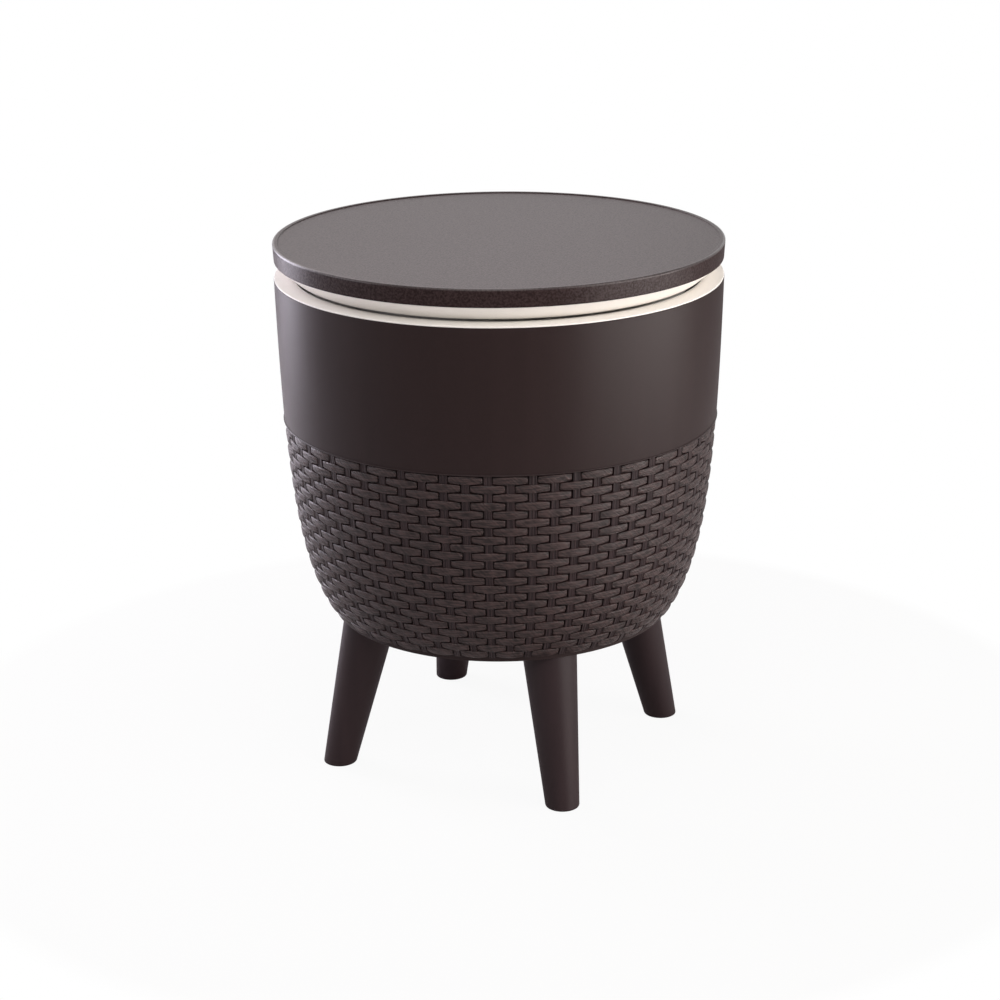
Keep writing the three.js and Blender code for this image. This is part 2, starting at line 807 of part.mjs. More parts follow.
// Lid: tabletop, liner, pole and what joins them
/** Cutter for the bayonet path: a long slot with a quarter-turn branch at each end. */
function makeLockingPath() {
  const halfWidth = pegRadius + slidingGap;
  const low = pegHeight - raiseTravel;
  const slot = bar(
    poleBore - cutOverrun,
    poleRadius + cutOverrun,
    2 * halfWidth,
    low - halfWidth,
    pegHeight + halfWidth,
  );
  const sideAngle = Math.asin(halfWidth / poleBore);
  const turn = THREE.MathUtils.degToRad(lockTurnDegrees);
  const sector = new THREE.Shape();
  sector.absarc(0, 0, poleRadius + cutOverrun, sideAngle, -turn - sideAngle, true);
  sector.absarc(0, 0, poleBore - cutOverrun, -turn - sideAngle, sideAngle, false);
  sector.closePath();
  const branch = new THREE.ExtrudeGeometry(sector, {
    depth: 2 * halfWidth,
    bevelEnabled: false,
    curveSegments: screwSteps,
  });
  return [
    slot,
    branch.clone().translate(0, 0, low - halfWidth),
    branch.translate(0, 0, pegHeight - halfWidth),
  ];
}

function makeLiftPole() {
  const tube = revolveRing([
    [poleBore, poleBottom],
    [poleRadius - neckDepth, poleBottom],
    [poleRadius - neckDepth, neckTop],
    [poleRadius, neckTop],
    [poleRadius, headSocketTop - seatGap],
    [poleBore, headSocketTop - seatGap],
  ], tubeSteps);
  const paths = makeLockingPath().flatMap((cutter) => around(cutter, pegCount, pegDegrees));
  return combine([tube], [...paths, crossPinCut(headPinHeight)]);
}

function makeFootPlug() {
  const spigot = poleBore - slidingGap;
  return revolve([
    [0, footPlugUnder],
    [guideBore - guideKeyRise - slidingGap - footPlugRim, footPlugUnder],
    [guideBore - guideKeyRise - slidingGap, footPlugUnder + footPlugRim],
    [guideBore - guideKeyRise - slidingGap, footPlugUnder + footPlugFlange],
    [spigot, footPlugUnder + footPlugFlange],
    [spigot, footPlugUnder + footPlugFlange + footPlugSpigot],
    [0, footPlugUnder + footPlugFlange + footPlugSpigot],
  ], tubeSteps);
}

function makePoleHead() {
  const flangeRadiusOut = headRadius + headFlangeReach;
  const body = revolve([
    [0, headSocketTop],
    [poleRadius + slidingGap, headSocketTop],
    [poleRadius + slidingGap, headUnder],
    [headRadius, headUnder],
    [headRadius, headFlangeUnder],
    [flangeRadiusOut, headFlangeUnder],
    [flangeRadiusOut, headFlangeTop],
    [headRadius, headFlangeTop],
    [headRadius, headTop],
    [0, headTop],
  ], tubeSteps);
  const screwCut = disc(
    headScrew.shank + slidingGap,
    headFlangeUnder - cutOverrun,
    headFlangeTop + cutOverrun,
    screwSteps,
  ).translate(headScrewReach, 0, 0);
  return combine(
    [body],
    [...around(screwCut, headScrewCount, diagonalDegrees), crossPinCut(headPinHeight)],
  );
}

/** A screw boss that hangs from the deck to bottom, with a bore for the screw's shank. */
function deckBoss(screw, bottom, reach) {
  const radius = screw.shank + screwBossWall;
  const post = disc(radius, bottom, deckUnder + weldDepth, screwSteps).translate(reach, 0, 0);
  const bore = disc(
    screw.shank + slidingGap,
    bottom - cutOverrun,
    bottom + screw.length,
    screwSteps,
  ).translate(reach, 0, 0);
  return { post, bore };
}

function makeTabletop() {
  const innerBottom = skirtBottomRadius - tabletopWall;
  const innerTop = tabletopRadius - tabletopWall;
  const lipInner = tabletopRadius - lipWidth;
  const plate = revolve([
    [0, deckUnder],
    [innerTop, deckUnder],
    [innerBottom, skirtBottom],
    [skirtBottomRadius, skirtBottom],
    [tabletopRadius, tableHeight - lipRound],
    [tabletopRadius - lipRound, tableHeight],
    [lipInner, tableHeight],
    [lipInner - lipRise, deckTop],
    [0, deckTop],
  ], shellSteps);
  const rib = bar(
    headRadius + seatGap,
    innerBottom - linerUpstandReach,
    ribWidth,
    deckUnder - ribHeight,
    deckUnder + weldDepth,
  );
  const ringRib = ring(
    ribRingRadius - ribWidth / 2,
    ribRingRadius + ribWidth / 2,
    deckUnder - ribHeight,
    deckUnder + weldDepth,
    tubeSteps,
  );
  const headBoss = deckBoss(headScrew, headFlangeTop + seatGap, headScrewReach);
  const linerBoss = deckBoss(linerScrew, linerFloorTop + seatGap, linerScrewReach);
  return combine(
    [
      plate,
      ...around(rib, ribCount, 180 / ribCount),
      ringRib,
      ...around(headBoss.post, headScrewCount, diagonalDegrees),
      ...around(linerBoss.post, linerScrewCount),
    ],
    [
      ...around(headBoss.bore, headScrewCount, diagonalDegrees),
      ...around(linerBoss.bore, linerScrewCount),
    ],
  );
}

function makeLidLiner() {
  const topRadius = skirtBottomRadius - linerInset;
  const upstandOuter = skirtBottomRadius - tabletopWall - linerSideGap;
  const coneTop = linerEdge + linerConeHeight;
  const slant = (topRadius - linerEdgeRadius) / linerConeHeight;
  const insideRadius = upstandOuter - linerWall;
  const insideLow = linerEdge + linerWall;
  const insideHigh = coneTop + linerWall - (topRadius - upstandOuter) / slant;
  const ledgeRadius = insideRadius - (insideHigh - insideLow) * slant;
  const plugInner = plugRadius - linerWall;
  const body = revolveRing([
    [headRadius + looseGap, linerFloorUnder],
    [plugRadius - plugRound, linerFloorUnder],
    [plugRadius, linerFloorUnder + plugRound],
    [plugRadius, linerEdge],
    [linerEdgeRadius, linerEdge],
    [topRadius, coneTop],
    [upstandOuter, coneTop],
    [upstandOuter, coneTop + linerUpstand],
    [insideRadius, coneTop + linerUpstand],
    [insideRadius, insideHigh],
    [ledgeRadius, insideLow],
    [plugInner, insideLow],
    [plugInner, linerFloorTop],
    [headRadius + looseGap, linerFloorTop],
  ], bucketSteps);
  const screwCut = disc(
    linerScrew.shank + slidingGap,
    linerFloorUnder - cutOverrun,
    linerFloorTop + cutOverrun,
    screwSteps,
  ).translate(linerScrewReach, 0, 0);
  return combine([body], around(screwCut, linerScrewCount));
}

place('tabletop', makeTabletop(), darkPlastic);
place('lid_liner', makeLidLiner(), palePlastic);
place('pole_head', makePoleHead(), palePlastic);
place('head_pin', crossPin(crossPinRadius, 2 * headRadius, headPinHeight), screwSteel);
place('lift_pole', makeLiftPole(), polePlastic);
place('foot_plug', makeFootPlug(), palePlastic);

/** Screws driven upwards from below: the screw's seat is turned to face down. */
function placeUpwardScrews(name, screw, reach, seat, count, offset) {
  for (let i = 0; i < count; i += 1) {
    const turned = new THREE.Group();
    turned.rotation.z = THREE.MathUtils.degToRad(offset + (360 * i) / count);
    table.add(turned);
    const mesh = place(`${name}_${i + 1}`, makeScrew(screw), screwSteel);
    mesh.rotation.x = Math.PI;
    mesh.position.set(reach, 0, seat);
    turned.add(mesh);
  }
}

const headScrewSeat = headFlangeUnder - seatGap;
const linerScrewSeat = linerFloorUnder - seatGap;
placeUpwardScrews('head_screw', headScrew, headScrewReach, headScrewSeat, headScrewCount, diagonalDegrees);
placeUpwardScrews('liner_screw', linerScrew, linerScrewReach, linerScrewSeat, linerScrewCount, 0);

// Drain: a flanged tube through both floors, its nut, and a plug with its seal
const drainEnd = shellFloorUnder - drainDrop;
const drainBore = drainTubeRadius - drainTubeWall;

function makeDrainTube() {
  const flangeUnder = bucketFloorTop + seatGap;
  return revolveRing([
    [drainBore, drainEnd],
    [drainTubeRadius, drainEnd],
    [drainTubeRadius, flangeUnder],
    [drainFlangeRadius, flangeUnder],
    [drainFlangeRadius - drainFlangeWall / 2, flangeUnder + drainFlangeWall],
    [drainBore + drainTubeWall, flangeUnder + drainFlangeWall],
    [drainBore, flangeUnder],
  ], drainSteps);
}

function makeDrainNut() {
  const top = bucketFloorUnder - seatGap;
  const nut = disc(drainNutRadius, top - drainNutHeight, top, drainNutSides);
  const bore = disc(
    drainTubeRadius + slidingGap,
    top - drainNutHeight - cutOverrun,
    top + cutOverrun,
    drainSteps,
  );
  return combine([nut], [bore]);
}

/** The plug's spigot, its flange and a flat grip to pull it by. */
function makeDrainPlug() {
  const flangeTop = drainEnd - 2 * seatGap - plugSealHeight;
  const flangeUnder = flangeTop - plugFlangeWall;
  const spigot = drainBore - slidingGap;
  const body = revolve([
    [0, flangeUnder],
    [drainTubeRadius + drainTubeWall, flangeUnder],
    [drainTubeRadius + drainTubeWall, flangeTop],
    [spigot, flangeTop],
    [spigot, flangeTop + plugSpigotHeight * (1 - plugSpigotShare)],
    [spigot * (1 - plugSpigotShare), flangeTop + plugSpigotHeight],
    [0, flangeTop + plugSpigotHeight],
  ], drainSteps);
  const grip = bar(
    -drainTubeRadius,
    drainTubeRadius,
    plugGripWidth,
    flangeUnder - plugGripHeight,
    flangeUnder + weldDepth,
  );
  return combine([body, grip]);
}

const drain = new THREE.Group();
drain.position.y = drainReach;
table.add(drain);
const sealTop = drainEnd - seatGap;
drain.add(
  place('drain_tube', makeDrainTube(), palePlastic),
  place('drain_nut', makeDrainNut(), palePlastic),
  place('drain_plug', makeDrainPlug(), darkPlastic),
  place('plug_seal', ring(
    drainBore,
    drainTubeRadius + slidingGap,
    sealTop - plugSealHeight,
    sealTop,
    drainSteps,
  ), blackRubber),
);

export default table;
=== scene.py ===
"""The looks of an ice bucket coffee table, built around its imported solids.

Sizes are metres in the frame of the solids: the origin is on the floor under the middle of the
table, and +Z is up. Each sub-assembly is a class that works out its surfaces as whole arrays and
dresses them in one of the finishes.
"""

import logging  # noqa: E402
import math  # noqa: E402
from collections.abc import Iterable, Sequence  # noqa: E402
from dataclasses import dataclass, field  # noqa: E402
from enum import Enum  # noqa: E402
from typing import Any  # noqa: E402

import bpy  # noqa: E402
import numpy as np  # noqa: E402
from mathutils import Matrix, Vector  # noqa: E402


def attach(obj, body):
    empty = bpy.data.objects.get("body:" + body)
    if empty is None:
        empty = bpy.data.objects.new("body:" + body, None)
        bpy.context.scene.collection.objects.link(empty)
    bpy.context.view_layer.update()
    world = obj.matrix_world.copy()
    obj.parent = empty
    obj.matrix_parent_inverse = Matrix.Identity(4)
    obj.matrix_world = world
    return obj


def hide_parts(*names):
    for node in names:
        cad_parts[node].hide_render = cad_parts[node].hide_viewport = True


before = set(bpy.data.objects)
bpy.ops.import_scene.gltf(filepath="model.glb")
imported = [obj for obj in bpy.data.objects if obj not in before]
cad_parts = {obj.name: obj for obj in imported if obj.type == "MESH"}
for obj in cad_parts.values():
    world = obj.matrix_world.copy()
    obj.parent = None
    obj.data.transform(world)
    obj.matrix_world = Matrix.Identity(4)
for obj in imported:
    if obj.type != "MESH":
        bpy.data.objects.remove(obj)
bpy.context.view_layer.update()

LOG = logging.getLogger("coffee_table")
MM = 0.001
#: Edges of a cut piece that turn more than this stay sharp.
CUT_SHARP_DEGREES = 30.0
#: A profile whose first point is nearer to Z than this starts on the axis.
ON_AXIS = 1e-9
#: A guard point stands this share of the fillet, or of what is left of the side, past an arc.
GUARD_OF_FILLET, GUARD_OF_SIDE = 0.5, 0.2
#: A guard nearer to its arc than this is left out.
LEAST_GUARD = 1e-6


class Body(Enum):
    """The bodies of the table that the new pieces ride on."""

    BASE = "base"
    LID = "lid"


class Slot(Enum):
    """The record's material slots."""

    DARK = "dark_plastic"
    PALE = "pale_plastic"
    POLE = "pole_plastic"
    RUBBER = "black_rubber"
    STEEL = "screw_steel"


# Shader maths


@dataclass(frozen=True)
class Wire:
    """The output socket of a node, with the operators that shader maths is written in."""

    sheet: "ShaderSheet"
    socket: bpy.types.NodeSocket

    def __add__(self, other: "Wire | float") -> "Wire":
        """The sum of two values."""
        return self.sheet.math("ADD", self, other)

    def __sub__(self, other: "Wire | float") -> "Wire":
        """The difference of two values."""
        return self.sheet.math("SUBTRACT", self, other)

    def __rsub__(self, other: float) -> "Wire":
        """A number less this value."""
        return self.sheet.math("SUBTRACT", other, self)

    def __mul__(self, other: "Wire | float") -> "Wire":
        """The product of two values."""
        return self.sheet.math("MULTIPLY", self, other)

    __radd__ = __add__


class ShaderSheet:
    """The node tree of one material or of the world."""

    def __init__(self, tree: bpy.types.NodeTree) -> None:
        """Empties the tree.

        Args:
            tree: The node tree to fill.
        """
        self.tree = tree
        self.tree.nodes.clear()

    def node(
        self,
        kind: str,
        settings: dict[str, Any] | None = None,
        inputs: dict[str | int, Any] | None = None,
    ) -> bpy.types.Node:
        """Adds one node.

        Args:
            kind: Blender's name for the type of node.
            settings: Properties of the node, set before its sockets.
            inputs: What each input socket takes, a Wire or a plain value.

        Returns:
            The new node.
        """
        made = self.tree.nodes.new(kind)
        for key, value in (settings or {}).items():
            setattr(made, key, value)
        for key, value in (inputs or {}).items():
            self._feed(made.inputs[key], value)
        return made

    def _feed(self, socket: bpy.types.NodeSocket, value: Any) -> None:
        """Gives an input socket what it takes.

        Args:
            socket: The input socket.
            value: A Wire to link to it, or a plain value to set.
        """
        if isinstance(value, Wire):
            self.tree.links.new(value.socket, socket)
        else:
            socket.default_value = value

    def out(self, node: bpy.types.Node, name: str | int = 0) -> Wire:
        """An output socket of a node, as a Wire."""
        return Wire(self, node.outputs[name])

    def math(self, operation: str, first: Any, second: Any = 0.0) -> Wire:
        """A Math node's result."""
        inputs = {0: first, 1: second}
        return self.out(self.node("ShaderNodeMath", {"operation": operation}, inputs))

    def scaled(self, vector: Wire, scale: tuple[float, float, float]) -> Wire:
        """A vector multiplied by a scale on each axis."""
        made = self.node("ShaderNodeVectorMath", {"operation": "MULTIPLY"}, {0: vector, 1: scale})
        return self.out(made)

    def length(self, vector: Wire) -> Wire:
        """How long a vector is."""
        made = self.node("ShaderNodeVectorMath", {"operation": "LENGTH"}, {0: vector})
        return self.out(made, "Value")

    def mixed(self, share: Wire, first: Any, second: Any) -> Wire:
        """A colour between two colours.

        Args:
            share: The second colour's share, from 0 to 1.
            first: The colour at 0.
            second: The colour at 1.

        Returns:
            The mixed colour.
        """
        made = self.node("ShaderNodeMix", {"data_type": "RGBA"})
        for name, value in (("Factor", share), ("A", first), ("B", second)):
            self._feed(next(s for s in made.inputs if s.name == name and s.enabled), value)
        return Wire(self, next(s for s in made.outputs if s.enabled))

    def noise(self, vector: Wire, scale: float, detail: float = 2.0, rough: float = 0.5) -> Wire:
        """Fractal noise between 0 and 1, at a scale in cycles per unit of the vector."""
        inputs = {"Vector": vector, "Scale": scale, "Detail": detail, "Roughness": rough}
        return self.out(self.node("ShaderNodeTexNoise", None, inputs), "Fac")

    def stretched(self, value: Wire, low: float, high: float) -> Wire:
        """A value carried from low..high to 0..1 and clipped."""
        inputs = {"Value": value, "From Min": low, "From Max": high}
        return self.out(self.node("ShaderNodeMapRange", {"clamp": True}, inputs))

    def place(self) -> Wire:
        """The point on the piece, in metres in the frame of the solids."""
        return self.out(self.node("ShaderNodeTexCoord"), "Object")

    def uv(self) -> Wire:
        """The piece's own UV map."""
        return self.out(self.node("ShaderNodeTexCoord"), "UV")

    def bump(self, height: Wire, depth: float) -> Wire:
        """A normal that follows a height from 0 to 1, which stands for depth in metres."""
        inputs = {"Height": height, "Distance": depth, "Strength": 1.0}
        return self.out(self.node("ShaderNodeBump", None, inputs))

    def principled(self, made: bpy.types.Material, inputs: dict[str, Any]) -> bpy.types.Material:
        """Ends a material in a Principled shader.

        Args:
            made: The material that this sheet belongs to.
            inputs: What each of the shader's sockets takes.

        Returns:
            The same material.
        """
        self.output(self.out(self.node("ShaderNodeBsdfPrincipled", None, inputs)))
        return made

    def output(self, shader: Wire, kind: str = "ShaderNodeOutputMaterial") -> None:
        """Wires a shader to the tree's output."""
        self.node(kind, None, {"Surface": shader})


def srgb(code: str) -> tuple[float, float, float, float]:
    """A colour as linear numbers.

    Args:
        code: Six hex digits of the colour as a screen shows it.

    Returns:
        Red, green, blue and 1.
    """
    shown = np.array([int(code[i : i + 2], 16) for i in (0, 2, 4)]) / 255.0
    linear = np.where(shown <= 0.04045, shown / 12.92, ((shown + 0.055) / 1.055) ** 2.4)
    return (*[float(c) for c in linear], 1.0)


def new_sheet(name: str) -> tuple[bpy.types.Material, ShaderSheet]:
    """Makes a new material.

    Args:
        name: Name of the material.

    Returns:
        The material and its empty sheet.
    """
    material = bpy.data.materials.new(name)
    material.use_nodes = True
    return material, ShaderSheet(material.node_tree)


@dataclass(frozen=True)
class MouldedPlastic:
    """Injection-moulded plastic: spark-eroded grain, soft upright streaks of sheen and colour.

    Hands polish an edge: past worn_reach from the axis and above worn_height the coat grows by
    worn_coat. It does so over the two lengths of worn_fade, outwards and upwards.
    """

    name: str
    light: str
    dark: str
    roughness: float
    grain_size: float = 0.0009
    grain_depth: float = 0.00003
    sheen_spread: float = 0.06
    specular: float = 0.5
    flow_share: float = 0.6
    coat: float = 0.0
    worn_reach: float = 0.0
    worn_height: float = 0.0
    worn_coat: float = 0.5
    worn_fade: tuple[float, float] = (0.0008, 0.0012)
    flow_scale: float = 42.0
    flow_stretch: tuple[float, float, float] = (1.0, 1.0, 0.04)
    tone_range: tuple[float, float] = (0.34, 0.66)
    coat_range: tuple[float, float] = (0.4, 0.6)
    coat_roughness: float = 0.3

    def material(self) -> bpy.types.Material:
        """Builds the material from noise on the object's own coordinates.

        Returns:
            The new material.
        """
        made, sheet = new_sheet(self.name)
        place = sheet.place()
        grain = sheet.noise(place, 1.0 / self.grain_size, rough=0.6)
        flow = sheet.noise(sheet.scaled(place, self.flow_stretch), self.flow_scale)
        mixed = flow * self.flow_share + grain * (1.0 - self.flow_share)
        tone = sheet.stretched(mixed, *self.tone_range)
        rough = self.roughness + (flow - 0.5) * (self.sheen_spread * self.flow_share)
        coat = sheet.stretched(grain, *self.coat_range) * self.coat
        if self.worn_reach > 0.0:
            coat = coat + self._worn(sheet, place) * self.worn_coat
        return sheet.principled(
            made,
            {
                "Base Color": sheet.mixed(tone, srgb(self.dark), srgb(self.light)),
                "Roughness": rough + (grain - 0.5) * self.sheen_spread,
                "Specular IOR Level": self.specular,
                "Coat Weight": coat,
                "Coat Roughness": self.coat_roughness,
                "Normal": sheet.bump(grain, self.grain_depth),
            },
        )

    def _worn(self, sheet: ShaderSheet, place: Wire) -> Wire:
        """Finds how worn a point is.

        Args:
            sheet: The sheet to add to.
            place: The point on the object.

        Returns:
            Wear between 0 and 1.
        """
        away = sheet.length(sheet.scaled(place, (1.0, 1.0, 0.0)))
        height = sheet.out(sheet.node("ShaderNodeSeparateXYZ", None, {"Vector": place}), 2)
        outwards, upwards = self.worn_fade
        reach = sheet.stretched(away, self.worn_reach, self.worn_reach + outwards)
        return reach * sheet.stretched(height, self.worn_height, self.worn_height + upwards)


@dataclass(frozen=True)
class CaneGrain:
    """Moulded cane: fibre lines along each strand, with painted shade in the furrows between the
    fibres and painted highlight on their ridges.
    """

    name: str
    light: str
    dark: str
    roughness: float
    fibre_width: float = 0.0011
    fibre_length: float = 0.02
    fibre_depth: float = 0.00016
    slant: float = 0.0
    specular: float = 0.5
    straight_share: float = 0.55
    crossed_share: float = 0.45
    patch_scale: float = 14.0
    patch_share: float = 0.3
    tone_range: tuple[float, float] = (0.15, 0.85)
    fibre_range: tuple[float, float] = (0.38, 0.62)
    sheen_spread: float = 0.2

    def material(self) -> bpy.types.Material:
        """Builds the material from noise on the strand's own UV map, in metres along and across.

        Returns:
            The new material.
        """
        made, sheet = new_sheet(self.name)
        split = sheet.node("ShaderNodeSeparateXYZ", None, {"Vector": sheet.uv()})
        along, across = sheet.out(split, 0), sheet.out(split, 1)
        lines = self._fibres(sheet, along, across, 0.0)
        crossed = self._fibres(sheet, along, across, self.slant)
        fibre = lines * self.straight_share + crossed * self.crossed_share
        patch = sheet.noise(sheet.place(), self.patch_scale)
        # The fibre noise darkens the furrows and lightens the ridges: painted shade and painted
        # highlight of the fibre relief. The patch noise is random tone.
        tone = sheet.stretched(fibre + (patch - 0.5) * self.patch_share, *self.tone_range)
        return sheet.principled(
            made,
            {
                "Base Color": sheet.mixed(tone, srgb(self.dark), srgb(self.light)),
                "Roughness": self.roughness + (0.5 - fibre) * self.sheen_spread,
                "Specular IOR Level": self.specular,
                "Normal": sheet.bump(fibre, self.fibre_depth),
            },
        )

    def _fibres(self, sheet: ShaderSheet, along: Wire, across: Wire, slant: float) -> Wire:
        """Noise drawn out along the strand.

        Args:
            sheet: The sheet to add to.
            along: Metres along the strand.
            across: Metres across the strand.
            slant: How far the fibres climb across the strand for each metre along it.

        Returns:
            Noise between 0 and 1.
        """
        drawn = along * (1.0 / self.fibre_length)
        packed = (across + along * slant) * (1.0 / self.fibre_width)
        vector = sheet.node("ShaderNodeCombineXYZ", None, {"X": drawn, "Y": packed})
        fibres = sheet.noise(sheet.out(vector), 1.0, detail=1.0)
        return sheet.stretched(fibres, *self.fibre_range)


@dataclass(frozen=True)
class TurnedSteel:
    """Zinc-plated steel with fine marks round its axis and dulled patches."""

    name: str
    light: str
    dark: str
    roughness: float
    mark_scale: tuple[float, float, float] = (300.0, 300.0, 2600.0)
    mark_depth: float = 0.00002
    patch_scale: float = 160.0
    sheen_spread: float = 0.2

    def material(self) -> bpy.types.Material:
        """Builds the material from noise that is squeezed along Z.

        Returns:
            The new material.
        """
        made, sheet = new_sheet(self.name)
        place = sheet.place()
        marks = sheet.noise(sheet.scaled(place, self.mark_scale), 1.0, detail=3.0)
        patch = sheet.noise(place, self.patch_scale)
        return sheet.principled(
            made,
            {
                "Base Color": sheet.mixed(patch, srgb(self.dark), srgb(self.light)),
                "Metallic": 1.0,
                "Roughness": self.roughness + (patch - 0.5) * self.sheen_spread,
                "Normal": sheet.bump(marks, self.mark_depth),
            },
        )


# Surfaces


def linked(name: str, data: bpy.types.ID) -> bpy.types.Object:
    """Makes an object and links it to the scene.

    Args:
        name: Name of the object.
        data: Its mesh, camera or lamp.

    Returns:
        The new object, at the origin.
    """
    made = bpy.data.objects.new(name, data)
    bpy.context.scene.collection.objects.link(made)
    return made


@dataclass
class Surface:
    """Corners and faces of one piece, worked out as whole arrays."""

    corners: np.ndarray
    faces: list[list[int]]
    uv: np.ndarray | None = None

    def to_object(
        self, name: str, material: bpy.types.Material, sharp_degrees: float = 35.0
    ) -> bpy.types.Object:
        """Makes the surface a mesh object at the origin.

        Args:
            name: Name of the piece.
            material: Its finish.
            sharp_degrees: Edges that turn more than this stay sharp.

        Returns:
            The new object, linked to the scene.
        """
        mesh = bpy.data.meshes.new(name)
        mesh.from_pydata(self.corners.tolist(), [], self.faces)
        mesh.polygons.foreach_set("use_smooth", np.ones(len(mesh.polygons), bool))
        if self.uv is not None:
            used = np.zeros(len(mesh.loops), np.int32)
            mesh.loops.foreach_get("vertex_index", used)
            layer = mesh.uv_layers.new(name="StrandMap")
            layer.data.foreach_set("uv", self.uv[used].astype(np.float32).ravel())
        mesh.set_sharp_from_angle(angle=math.radians(sharp_degrees))
        mesh.materials.append(material)
        mesh.update()
        return linked(name, mesh)


def joined(parts: Iterable[Surface]) -> Surface:
    """One surface that holds several.

    Args:
        parts: The surfaces, whose corners are numbered one after the other.

    Returns:
        The surface, with a UV map if every part has one.
    """
    corners, faces, maps, start = [], [], [], 0
    for part in parts:
        corners.append(part.corners)
        faces.extend([[start + i for i in face] for face in part.faces])
        maps.append(part.uv)
        start += len(part.corners)
    uv = np.vstack(maps) if all(m is not None for m in maps) else None
    return Surface(np.vstack(corners), faces, uv)


def wrapped_grid(rows: int, columns: int, close_rows: bool, close_columns: bool) -> np.ndarray:
    """The four corner numbers of each face of a grid that is numbered row by row.

    Args:
        rows: Number of rows of corners.
        columns: Number of corners in a row.
        close_rows: Whether the last row joins the first.
        close_columns: Whether the last column joins the first.

    Returns:
        One row of four numbers for each face.
    """
    row = np.arange(rows if close_rows else rows - 1)[:, None]
    column = np.arange(columns if close_columns else columns - 1)[None, :]
    next_row, next_column = (row + 1) % rows, (column + 1) % columns
    around = [
        row * columns + column,
        row * columns + next_column,
        next_row * columns + next_column,
        next_row * columns + column,
    ]
    shape = (row.size, column.size)
    return np.stack([np.broadcast_to(a, shape) for a in around], -1).reshape(-1, 4)


def block_faces(count: int, along: int, across: int, flipped: bool = False) -> list[list[int]]:
    """The faces of closed blocks, each a run of rings with a cap at both ends.

    Args:
        count: Number of blocks, whose corners are numbered one block after the other.
        along: Number of rings in a block.
        across: Number of corners in a ring.
        flipped: Whether the faces are turned round, for rings that run the other way.

    Returns:
        The corner numbers of each face, the sides of all blocks first.
    """
    size = along * across
    start = (np.arange(count) * size)[:, None, None]
    caps = np.array([range(across)[::-1], range(size - across, size)])
    sides = (wrapped_grid(along, across, False, True)[None] + start).reshape(-1, 4)
    ends = (caps[None] + start).reshape(-1, across)
    order = -1 if flipped else 1
    return sides[:, ::order].tolist() + ends[:, ::order].tolist()


def revolved(profile: np.ndarray, steps: int) -> Surface:
    """A profile carried round Z.

    The corner of point i at step j is (r cos a, r sin a, z) with a = 2 pi j / steps. A profile
    that starts and ends on the axis closes there in one corner each; any other is a closed loop.

    Args:
        profile: Radius and height of each point, anticlockwise with the axis on the left.
        steps: Number of steps in the circle.

    Returns:
        A closed surface with its faces outwards.
    """
    angle = np.arange(steps) * (2.0 * math.pi / steps)
    on_axis = profile[0, 0] < ON_AXIS
    rim = profile[1:-1] if on_axis else profile
    corners = np.stack(
        [
            rim[:, :1] * np.cos(angle),
            rim[:, :1] * np.sin(angle),
            np.broadcast_to(rim[:, 1:], (len(rim), steps)),
        ],
        -1,
    ).reshape(-1, 3)
    faces = wrapped_grid(len(rim), steps, not on_axis, True).tolist()
    if on_axis:
        first, last = len(corners), len(corners) + 1
        ends = np.array([[0.0, 0.0, profile[0, 1]], [0.0, 0.0, profile[-1, 1]]])
        corners = np.vstack([corners, ends])
        here = np.arange(steps)
        beside = (here + 1) % steps
        top = (len(rim) - 1) * steps
        faces += np.stack([np.full(steps, first), beside, here], -1).tolist()
        faces += np.stack([np.full(steps, last), top + here, top + beside], -1).tolist()
    return Surface(corners, faces)


def rounded(
    corners: Sequence[tuple[float, float, float]], closed: bool, steps: int = 4
) -> np.ndarray:
    """A profile whose corners are turned into arcs.

    Each arc lies on a circle that touches both sides of its corner, at fillet / tan(half the
    corner's angle) from it. A guard point beyond each end keeps the flat beside it flat.

    Args:
        corners: Radius, height and fillet of each corner.
        closed: Whether the last corner joins the first.
        steps: Number of steps in each arc.

    Returns:
        Radius and height of each point.
    """
    points = np.array([c[:2] for c in corners], float)
    out: list[np.ndarray] = []
    count = len(corners)
    for i, (_, _, fillet) in enumerate(corners):
        here = points[i]
        if fillet <= 0 or (not closed and i in (0, count - 1)):
            out.append(here[None])
            continue
        back, ahead = points[i - 1] - here, points[(i + 1) % count] - here
        back_length, ahead_length = np.linalg.norm(back), np.linalg.norm(ahead)
        back, ahead = back / back_length, ahead / ahead_length
        half = 0.5 * math.acos(float(np.clip(back @ ahead, -1.0, 1.0)))
        reach = fillet / math.tan(half)
        middle = here + (back + ahead) / np.linalg.norm(back + ahead) * (fillet / math.sin(half))
        start, end = here + back * reach - middle, here + ahead * reach - middle
        sweep = math.pi - 2.0 * half
        share = np.linspace(0.0, 1.0, steps + 1)[:, None]
        arc = middle + (np.sin((1 - share) * sweep) * start + np.sin(share * sweep) * end) / (
            math.sin(sweep)
        )
        left = min(back_length, ahead_length) - reach
        guard = min(GUARD_OF_FILLET * fillet, GUARD_OF_SIDE * left)
        if guard > LEAST_GUARD:
            before = here + back * (reach + guard)
            after = here + ahead * (reach + guard)
            arc = np.vstack([before[None], arc, after[None]])
        out.append(arc)
    return np.vstack(out)


def lathed(
    corners: Sequence[tuple[float, float, float]], closed: bool, steps: int, arc: int = 4
) -> Surface:
    """Corners with their fillets, rounded and carried round Z."""
    return revolved(rounded(corners, closed, arc), steps)


@dataclass(frozen=True)
class Window:
    """An opening through a pipe's wall: a range of turns in degrees and a range of heights."""

    start: float
    end: float
    low: float
    high: float

    def holds(self, turn: np.ndarray, height: np.ndarray) -> np.ndarray:
        """Whether a face with its middle there lies in the opening."""
        across = (turn - self.start) % 360.0 < self.end - self.start
        return across[None, :] & ((height > self.low) & (height < self.high))[:, None]


